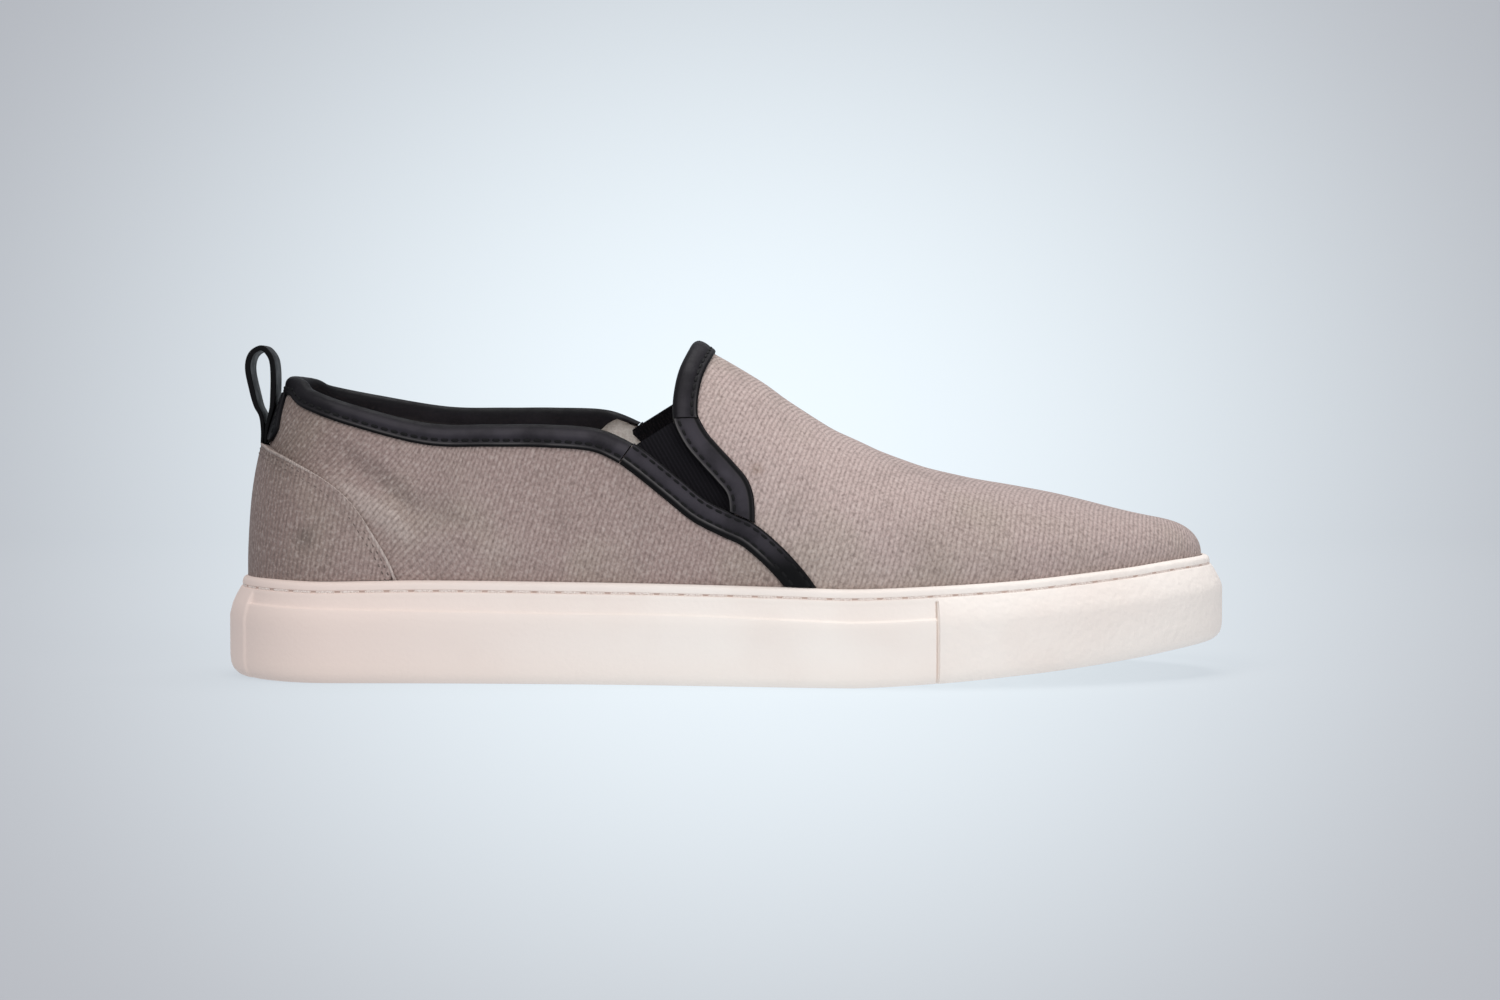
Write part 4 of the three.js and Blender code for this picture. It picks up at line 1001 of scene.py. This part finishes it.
counter_seams = []
for back in (1.5, 2.9):
    turn, rise, side = around_heel(moved(counter_line, back), float(turn_at(STITCH_END)), 200)
    place, out = skin(turn, rise, side)
    place += out * (counter_face(place) + 0.03)[:, None]
    counter_seams.append(pills(*stitch_frames(place, out, 2.3), 1.0, 0.42, 0.34))
counter_stitches = smooth_piece("counter_stitches", *joined(counter_seams), brown_thread)
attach(counter_stitches, "root")

# Elastic gores: a strip of black ribbed elastic at each side of the throat, sewn in behind the canvas, with
# a straight upper edge.
elastic = Finish("ribbed_elastic", 0.9, Specular_IOR_Level=0.12)
RIDGE_PITCH = 1.1
along_gore, _, up_gore = elastic.axes(elastic.place())
slanted = along_gore * 0.86 + up_gore * 0.5
ridges = slanted.maths("SINE", slanted * (2 * math.pi / (RIDGE_PITCH * MM))) * 0.5 + 0.5
fluff = elastic.noise(elastic.place(1500.0))
elastic.colour(elastic.mix(ridges * 0.6 + fluff * 0.4, tone(14, 13, 16), tone(27, 25, 29)))
elastic.bump(ridges * 0.6 + fluff * 0.5, 0.0002)


def on_gore(which):
    """Cuts a gore out of a side, with its straight top edge and its lap under the canvas."""
    rear, ahead = moved(rears[which], 4.0), moved(front, -4.0)
    corner = rears[which][0]

    def keep(points, side):
        x, z = points[:, 0], points[:, 2]
        below_top = corner[1] + (x - corner[0]) * 0.64 - z
        from_rear = x - np.interp(-z, -rear[:, 1], rear[:, 0])
        from_front = np.interp(-z, -ahead[:, 1], ahead[:, 0]) - x
        inside = np.minimum(np.minimum(below_top, z - 38), np.minimum(from_rear, from_front))
        return np.where((side == which) & (z < 90), inside, -9)

    return keep


for which, word in ((-1, "outer"), (1, "inner")):
    points, faces, _, _ = sheet_between(300, 80, on_gore(which), -CANVAS_WALL - GAP, -CANVAS_WALL - GAP - 1.2)
    gore = smooth_piece(f"{word}_gore_elastic", points, faces, elastic, 50)
    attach(gore, "root")
    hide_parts(f"{word}_gore")

# Collar binding: a band of thin black leather folded over the quarters' top edge, all round the heel, and
# sewn through near its lower edge.
BAND = 7.1
HEEL_BAND = 0.82  # its width at the heel, as a share
SEAM_BACK = -1.75  # a wrap's seam, from the band's lower edge
INSIDE = -2  # what stands off the canvas less than this is the wrap's inner fold

# The leather's colour carries painted light from its corners: a painted sheen across the middle of each band,
# a light line along each fold that is partly wear and partly painted highlight, and painted shade at the
# edges, in the stitch grooves and at the rear strips' lower ends.
leather = Finish("black_leather", 0.5, Specular_IOR_Level=0.13)
sheen, wear_and_highlight_line, painted_shade = leather.axes(leather.corners("sheen_wear_and_shade"))
pores = leather.noise(leather.place(1300.0))
creases = leather.noise(leather.place(240.0), 3.0)
sheen_and_wear_patches = leather.noise(leather.place(90.0), 3.0)
hide = leather.mix(pores.between(0.35, 0.65), tone(14, 12, 15), tone(23, 21, 24))
hide = leather.mix(sheen * sheen_and_wear_patches.between(0.3, 0.62, 0.4, 1.0), hide, tone(60, 56, 62))
hide = leather.mix(wear_and_highlight_line * sheen_and_wear_patches.between(0.3, 0.6, 0.4, 1.0), hide, tone(106, 102, 101))
along_edge, _, up_edge = leather.axes(leather.place())
# Painted shade: darker towards the heel's back, where the painted sheen fades, and higher up, above 88 mm.
hide = leather.mix(along_edge.between(-0.134, -0.105, 0.95, 0.0), hide, tone(12, 11, 14))
hide = leather.mix(up_edge.between(0.07, 0.088, 0.0, 0.7), hide, tone(20, 18, 22))
leather.colour(leather.mix(painted_shade, hide, tone(5, 4, 6)))
leather.feed(leather.surface.inputs["Roughness"], creases.between(0.3, 0.7, 0.46, 0.62))
leather.bump(pores * 0.5 + creases, 0.00012)

# The wrap's section, from the outer lower edge over the top to the inner lower edge and back inside the
# fold: distance from the top edge in mm, plus a share of the band's width, how far it stands off the
# canvas, then painted sheen, a light fold line that is partly wear and partly painted highlight, and
# painted shade.
wrap = [
    (0, 1, 0.25, 0, 0, 1), (0, 1, 0.6, 0, 0, 1), (-0.1, 1, 0.9, 0, 0, 1), (-0.4, 1, 1.1, 0, 0, 0.8),
    (-0.8, 1, 1.28, 0.2, 0.6, 0), (-1.15, 1, 1.3, 0.3, 0.1, 0), (-1.5, 1, 1.24, 0.6, 0, 0.1),
    (-1.75, 1, 1.18, 0.6, 0, 0.2), (-2.0, 1, 1.26, 0.7, 0, 0.1), (-2.4, 1, 1.4, 0.6, 0, 0),
    (-2.9, 1, 1.52, 0.8, 0, 0), (0, 0.46, 1.62, 1, 0.1, 0), (0, 0.34, 1.6, 0.9, 0.1, 0),
    (1.5, 0, 1.42, 0.5, 0, 0), (0.9, 0, 1.1, 0.2, 0, 0.2), (0.4, 0, 0.5, 0, 0, 0.4),
    (0.1, 0, -0.15, 0, 0, 0.4), (0, 0, -0.9, 0, 0, 0.5), (0.1, 0, -1.65, 0, 0, 0.5),
    (0.4, 0, -2.3, 0, 0, 0.4), (0.9, 0, -2.8, 0, 0, 0.3), (1.7, 0, -3.1, 0.2, 0, 0),
    (0, 0.4, -3.2, 0.3, 0, 0), (0, 0.7, -3.2, 0.2, 0, 0), (-0.4, 1, -3.15, 0, 0.3, 0),
    (-0.05, 1, -2.9, 0, 0, 0.5), (0, 1, -2.1, 0, 0, 1), (1.4, 0, -2.1, 0, 0, 1),
    (1.12, 0, -1.6, 0, 0, 1), (1.12, 0, -0.2, 0, 0, 1), (1.4, 0, 0.3, 0, 0, 1),
]


def under(first, second, side, axes=(0, 2)):
    """Turn and rise where the canvas is seen at a place, from the side or along the other axes."""
    shape = np.broadcast_shapes(np.shape(first), np.shape(side))
    target = np.stack([np.broadcast_to(first, shape), np.broadcast_to(second, shape)], -1)
    side = np.broadcast_to(np.asarray(side, float), shape)
    turn = turn_at(share_of(target[..., 0])) if axes[0] == 0 else np.full(shape, 0.04)
    rise = np.full(shape, 0.4)
    step = 1e-3
    for _ in range(14):
        miss = target - canvas(turn, rise, side)[..., axes]
        by_turn = (canvas(turn + step, rise, side) - canvas(turn - step, rise, side))[..., axes] / (2 * step)
        by_rise = (canvas(turn, rise + step, side) - canvas(turn, rise, side))[..., axes] / step
        area = by_turn[..., 0] * by_rise[..., 1] - by_turn[..., 1] * by_rise[..., 0]
        turn_by = (miss[..., 0] * by_rise[..., 1] - miss[..., 1] * by_rise[..., 0]) / area
        rise_by = (miss[..., 1] * by_turn[..., 0] - miss[..., 0] * by_turn[..., 1]) / area
        turn = turn + np.clip(turn_by, -0.05, 0.05)
        rise = np.clip(rise + np.clip(rise_by, -0.1, 0.1), 0, 0.995)
    return turn, rise


def collar_track(which, add, share, inside=False, count=130):
    """Turn and rise along the collar, from its front end to the heel's back, at a distance from the edge.
    The inner fold narrows at its front end."""
    at_heel, at_front = add + BAND * HEEL_BAND * share, add + BAND * share
    line = moved(toplines[which], at_heel, at_front)
    cut = moved(rears[which], at_front)[0] + np.array((-0.35, 0.15))
    end, _ = under(cut[0], cut[1], which)
    turn = np.linspace(1, 0, count) ** 0.9 * end
    rise = rise_on(line, turn, np.full(count, which))
    if inside:
        near_end = ramp(np.linspace(1, 0, count), 0.95, 0.985)
        shorter = moved(toplines[which], at_heel * 0.2, at_front * 0.2)
        rise += near_end * (rise_on(shorter, turn, np.full(count, which)) - rise)
    return turn, rise


def both_sides(track):
    """A track of the outer side joined to the inner one's, which meet at the heel's back or the crown."""
    turn, rise, side = [], [], []
    for which in (-1, 1):
        t, r = track(which)
        order = slice(None) if which < 0 else slice(-2, None, -1)
        turn.append(t[order])
        rise.append(r[order])
        side.append(np.full(len(t[order]), float(which)))
    return np.concatenate(turn), np.concatenate(rise), np.concatenate(side)


def wrapped(name, track):
    """Leather folded over an edge, with the wrap's section along a track."""
    corners = [both_sides(lambda which: track(which, row[0], row[1], row[2] < INSIDE)) for row in wrap]
    turn, rise, side = (np.stack(values, -1) for values in zip(*corners))
    stand = np.broadcast_to([row[2] for row in wrap], turn.shape)
    waves = 0.05 * np.sin(np.arange(len(turn)) * 0.9)[:, None] * (stand > 1.35)
    made = swept(name, turn, rise, side, stand + waves, leather, 50)
    add_corners(made, "sheen_wear_and_shade", np.broadcast_to([row[3:] for row in wrap], turn.shape + (3,)).reshape(-1, 3))
    return made


collar = wrapped("collar_binding_leather", collar_track)
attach(collar, "root")
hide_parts("collar_binding")

black_thread = Finish("black_thread", 0.6, Specular_IOR_Level=0.2)
black_thread.colour(black_thread.mix(
    black_thread.noise(black_thread.place(1800.0)), tone(3, 3, 4), tone(12, 11, 13)))
leather_seams = []


def sew(place, out, stand, pitch=3.0, length=2.1):
    """Adds a row of black stitches along places on the canvas, at a distance off it."""
    leather_seams.append(pills(*stitch_frames(place + out * stand, out, pitch), length, 0.9, 0.6))


sew(*skin(*both_sides(lambda which: collar_track(which, SEAM_BACK, 1))), 1.25)

# Throat binding: the same leather wrap, folded over the edge of the vamp across the instep. At each side it
# butts against the top of a front strip.
STRIP = 7.2


def throat_track(which, add, share, inside=False, count=46):
    """Turn and rise along the throat's edge, from the join up to the crown."""
    line = moved(front, -(add + STRIP * share))
    x = np.interp(-JOIN_HEIGHT, -line[:, 1], line[:, 0])
    _, start = under(x, JOIN_HEIGHT + 0.15, which)
    rise = start + (1 - start) * np.linspace(0, 1, count)
    low, high = np.full(count, 0.3), np.full(count, 0.8)
    for _ in range(22):
        turn = (low + high) / 2
        place = canvas(turn, rise, which)
        over = place[:, 0] > np.interp(-place[:, 2], -line[:, 1], line[:, 0])
        low, high = np.where(over, low, turn), np.where(over, turn, high)
    return low, rise


throat = wrapped("throat_binding_leather", throat_track)
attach(throat, "root")
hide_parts("throat_binding")
sew(*skin(*both_sides(lambda which: throat_track(which, SEAM_BACK, 1))), 1.2)

# Rear and front strips: flat leather facings along the gore's two edges. The rear one runs from the collar
# down to the sole, and the front one's end goes under it.
# Each section: distance from the edge, how far it stands off the canvas, then painted sheen, a light fold
# line that is partly wear and partly painted highlight, and painted shade.
sections = {
    "rear": np.array([
        (0, 0.3, 0, 0, 1), (0, 0.8, 0, 0, 1), (0.1, 1.08, 0, 0, 1), (0.35, 1.24, 0.1, 0, 0.6),
        (0.7, 1.32, 0.9, 0.1, 0), (0.95, 1.28, 0.8, 0, 0.1), (1.2, 1.22, 0.7, 0, 0.1),
        (1.45, 1.28, 0.8, 0, 0.1), (1.8, 1.4, 0.9, 0, 0), (2.7, 1.46, 1, 0, 0), (3.6, 1.48, 0.9, 0, 0),
        (4.2, 1.42, 0.7, 0, 0), (4.6, 1.3, 0.5, 0, 0.1), (4.85, 1.22, 0.4, 0, 0.2), (5.1, 1.3, 0.3, 0, 0.2),
        (5.45, 1.38, 0.2, 0.7, 0), (5.8, 1.34, 0, 0.3, 0.3), (6.2, 1.22, 0, 0, 0.9), (6.7, 1.15, 0, 0, 1),
        (7.1, 0.85, 0, 0, 1), (7.2, 0.3, 0, 0, 1),
    ]),
    "front": np.array([
        (0, 0.3, 0, 0, 1), (0, 0.8, 0, 0, 1), (0.1, 1.08, 0, 0, 0.8), (0.35, 1.26, 0.1, 0.8, 0),
        (0.7, 1.34, 0.3, 0.3, 0), (1.1, 1.28, 0.6, 0, 0.1), (1.5, 1.22, 0.6, 0, 0.1),
        (1.75, 1.28, 0.7, 0, 0.1), (2.2, 1.4, 0.8, 0, 0), (3.0, 1.47, 1, 0, 0), (4.0, 1.48, 1, 0, 0),
        (4.9, 1.44, 0.9, 0, 0), (5.6, 1.36, 0.5, 0.1, 0), (5.95, 1.22, 0, 0, 0.9), (6.2, 1.16, 0, 0, 1),
        (6.5, 1.2, 0.1, 0, 0.6), (6.8, 1.18, 0.2, 0.1, 0.4), (7.05, 1.0, 0, 0, 1), (7.2, 0.75, 0, 0, 1),
        (7.2, 0.5, 0, 0, 1), (7.2, 0.3, 0, 0, 1),
    ]),
}


def index_line(line, t):
    """Places along a line, at shares of its corners' numbers."""
    at = np.asarray(t) * (len(line) - 1)
    return np.stack([np.interp(at, np.arange(len(line)), line[:, k]) for k in (0, 1)], -1)


def rear_track(which, back, count=110):
    """Places along a rear strip, at a distance from its edge, down to the sole."""
    line = moved(rears[which], back)
    t = np.linspace(0, 1, 600)
    places = index_line(line, t)
    end = t[np.argmax(places[:, 1] < rim_height(share_of(places[:, 0])) + GAP)]
    return index_line(line, np.linspace(0, end, count))


def front_track(which, back, count=80):
    """Places along a front strip, from the throat's binding to just under the rear strip."""
    line = moved(front, -back)
    over = moved(rears[which], -0.25)
    t = np.linspace(0, 1, 900)
    places = index_line(line, t)
    start = t[np.argmax(places[:, 1] < JOIN_HEIGHT - 0.15)]
    end = t[np.argmax(places[:, 1] < np.interp(places[:, 0], over[:, 0], over[:, 1]))]
    return index_line(line, np.linspace(start, end, count))


for which, word in ((-1, "outer"), (1, "inner")):
    for name, track, seam_backs in (("rear", rear_track, (1.2, 4.85)), ("front", front_track, (1.45,))):
        section = sections[name]
        places = np.stack([track(which, back) for back in section[:, 0]], 1)
        turn, rise = under(places[..., 0], places[..., 1], which)
        side = np.full(turn.shape, float(which))
        stand = np.broadcast_to(section[:, 1], turn.shape)
        strip = swept(f"{word}_{name}_strip_leather", turn, rise, side, stand, leather, 50)
        sheen_wear_and_shade = np.broadcast_to(section[:, 2:], turn.shape + (3,)).copy()
        # The rear strip's lower end takes painted shade, darker towards the sole.
        if name == "rear":
            sheen_wear_and_shade[..., 2] = np.maximum(sheen_wear_and_shade[..., 2], ramp(np.linspace(0, 1, len(turn)), 0.72, 0.92)[:, None])
        add_corners(strip, "sheen_wear_and_shade", sheen_wear_and_shade.reshape(-1, 3))
        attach(strip, "root")
        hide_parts(f"{word}_{name}_strip")
        for back in seam_backs:
            places = track(which, back)
            turn, rise = under(places[:, 0], places[:, 1], which)
            sew(*skin(turn, rise, np.full(len(turn), float(which))), 1.2)

# Pull loop: a doubled leather strap that stands up at the back of the heel, with its ends sewn to a small
# leather patch between the counter and the collar.
LOOP_WIDTH = 10
PATCH_FOOT = THROAT * 0.7
COLLAR_TOP = THROAT * 0.905
heel_spine = canvas(np.zeros(400), np.linspace(0, 1, 400), -1)
HALF_LOOP = 3.8
foot_z = PATCH_FOOT - 0.4
top_z = COLLAR_TOP + 7.65
loop_x = np.interp(foot_z, heel_spine[:, 2], heel_spine[:, 0]) - GAP - LEATHER - 0.27 * HALF_LOOP
# The strap's path: share of its height, then the near and the far run's place across the loop.
loop_rows = [
    (0, 0.4, 0.12), (0.14, 0.46, 0.16), (0.29, 0.74, 0.04), (0.4, 0.92, -0.35), (0.58, 1, -0.7),
    (0.76, 1, -0.97), (0.88, 0.88, -0.9), (0.96, 0.54, -0.55), (1, 0.1, 0.1),
]
bends = [(near, up) for up, near, _ in loop_rows] + [(far, up) for up, _, far in loop_rows[-2::-1]]
path_rows = [
    ((loop_x + over * HALF_LOOP) / LENGTH + 0.5, (foot_z + (top_z - foot_z) * up) / THROAT, 0)
    for over, up in bends
]
path = side_line(path_rows, -1, 7)
thin = np.interp(path[:, 1], (foot_z, foot_z + 6, foot_z + 14), (0.9, 1.1, 1.6)) / 2
along = np.gradient(path, axis=0)
along /= np.linalg.norm(along, axis=1)[:, None]
normal = np.stack([along[:, 1], -along[:, 0]], -1)
half_section = np.array([
    (-1, -0.5), (-0.99, -0.85), (-0.94, -1), (-0.8, -1.0), (-0.4, -1.04), (0, -1.05), (0.4, -1.04),
    (0.8, -1.0), (0.94, -1), (0.99, -0.85), (1, -0.5),
])
section = np.vstack([half_section, -half_section])
loop_points = np.empty((len(path), len(section), 3))
offset = thin[:, None] * section[None, :, 1]
loop_points[..., 0] = path[:, None, 0] + normal[:, None, 0] * offset
loop_points[..., 2] = path[:, None, 1] + normal[:, None, 1] * offset
loop_points[..., 1] = SIDE_SHIFT + section[None, :, 0] * LOOP_WIDTH / 2
loop_faces = tube_faces(len(path), len(section))
loop = smooth_piece("pull_loop_strap", loop_points.reshape(-1, 3), loop_faces, leather, 50)
# Painted light on the strap: painted sheen and some of the light fold line on its wide faces, and painted
# shade on its edges.
loop_sheen_wear_and_shade = np.zeros((len(path), len(section), 3))
loop_sheen_wear_and_shade[..., 0] = (np.abs(section[:, 0]) < 0.9) * 1.0
loop_sheen_wear_and_shade[..., 1] = (np.abs(section[:, 0]) < 0.9) * 0.3
loop_sheen_wear_and_shade[..., 2] = (np.abs(section[:, 0]) > 0.93) * 0.9
add_corners(loop, "sheen_wear_and_shade", loop_sheen_wear_and_shade.reshape(-1, 3))
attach(loop, "root")
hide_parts("pull_loop")


def patch_half(z):
    """Half the patch's width, which is less towards the collar."""
    return np.interp(z, (PATCH_FOOT, PATCH_FOOT + 4, COLLAR_TOP), (12, 12, 5))


CORNER = 4  # radius of the patch's lower corners
patch_top = THROAT * 0.902 - BAND * HEEL_BAND - 0.1
rows_up = np.concatenate([[0, 0.012, 0.03], np.linspace(0.07, 1, 26)])
heights = PATCH_FOOT + 0.1 + (patch_top - PATCH_FOOT) * rows_up
from_corner = np.clip(CORNER - (heights - PATCH_FOOT), 0, CORNER)
half_width = patch_half(heights) - (CORNER - np.sqrt(CORNER**2 - from_corner**2))
across = np.concatenate([[-1, -0.995, -0.97], np.linspace(-0.9, 0.9, 17), [0.97, 0.995, 1]])
edge = np.interp(np.abs(across), (0.9, 0.97, 0.995, 1), (0, 0.06, 0.3, 0.6))
y = np.hstack([half_width[:, None] * across, half_width[:, None] * across[::-1]])
stand = np.concatenate([GAP + LEATHER - edge, np.full(len(across), GAP)])
ends = np.interp(np.arange(len(heights)), (0, 1, 2, 3), (0.6, 0.3, 0.06, 0))[:, None] * (stand > GAP + 0.01)
side = np.where(y < 0, -1.0, 1.0)
turn, rise = under(SIDE_SHIFT + y, heights[:, None] + 0 * y, side, (1, 2))
patch = swept("pull_loop_patch", turn, rise, side, stand - ends, leather, 50)
# Painted sheen all over the patch.
patch_sheen = np.zeros(turn.shape + (3,))
patch_sheen[..., 0] = 0.4
add_corners(patch, "sheen_wear_and_shade", patch_sheen.reshape(-1, 3))
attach(patch, "root")

for y_at in (-1, 1):
    z = np.linspace(PATCH_FOOT + 2, patch_top - 1, 60)
    wide = patch_half(z) - 1.6
    turn, rise = under(SIDE_SHIFT + y_at * wide, z, float(y_at), (1, 2))
    sew(*skin(turn, rise, np.full(len(z), float(y_at))), 1.42, 2.6, 1.8)

# Leather stitches: the black thread of all the seams that were sewn above, through the bindings, the strips
# and the loop's patch.
seams = smooth_piece("leather_stitches", *joined(leather_seams), black_thread)
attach(seams, "root")
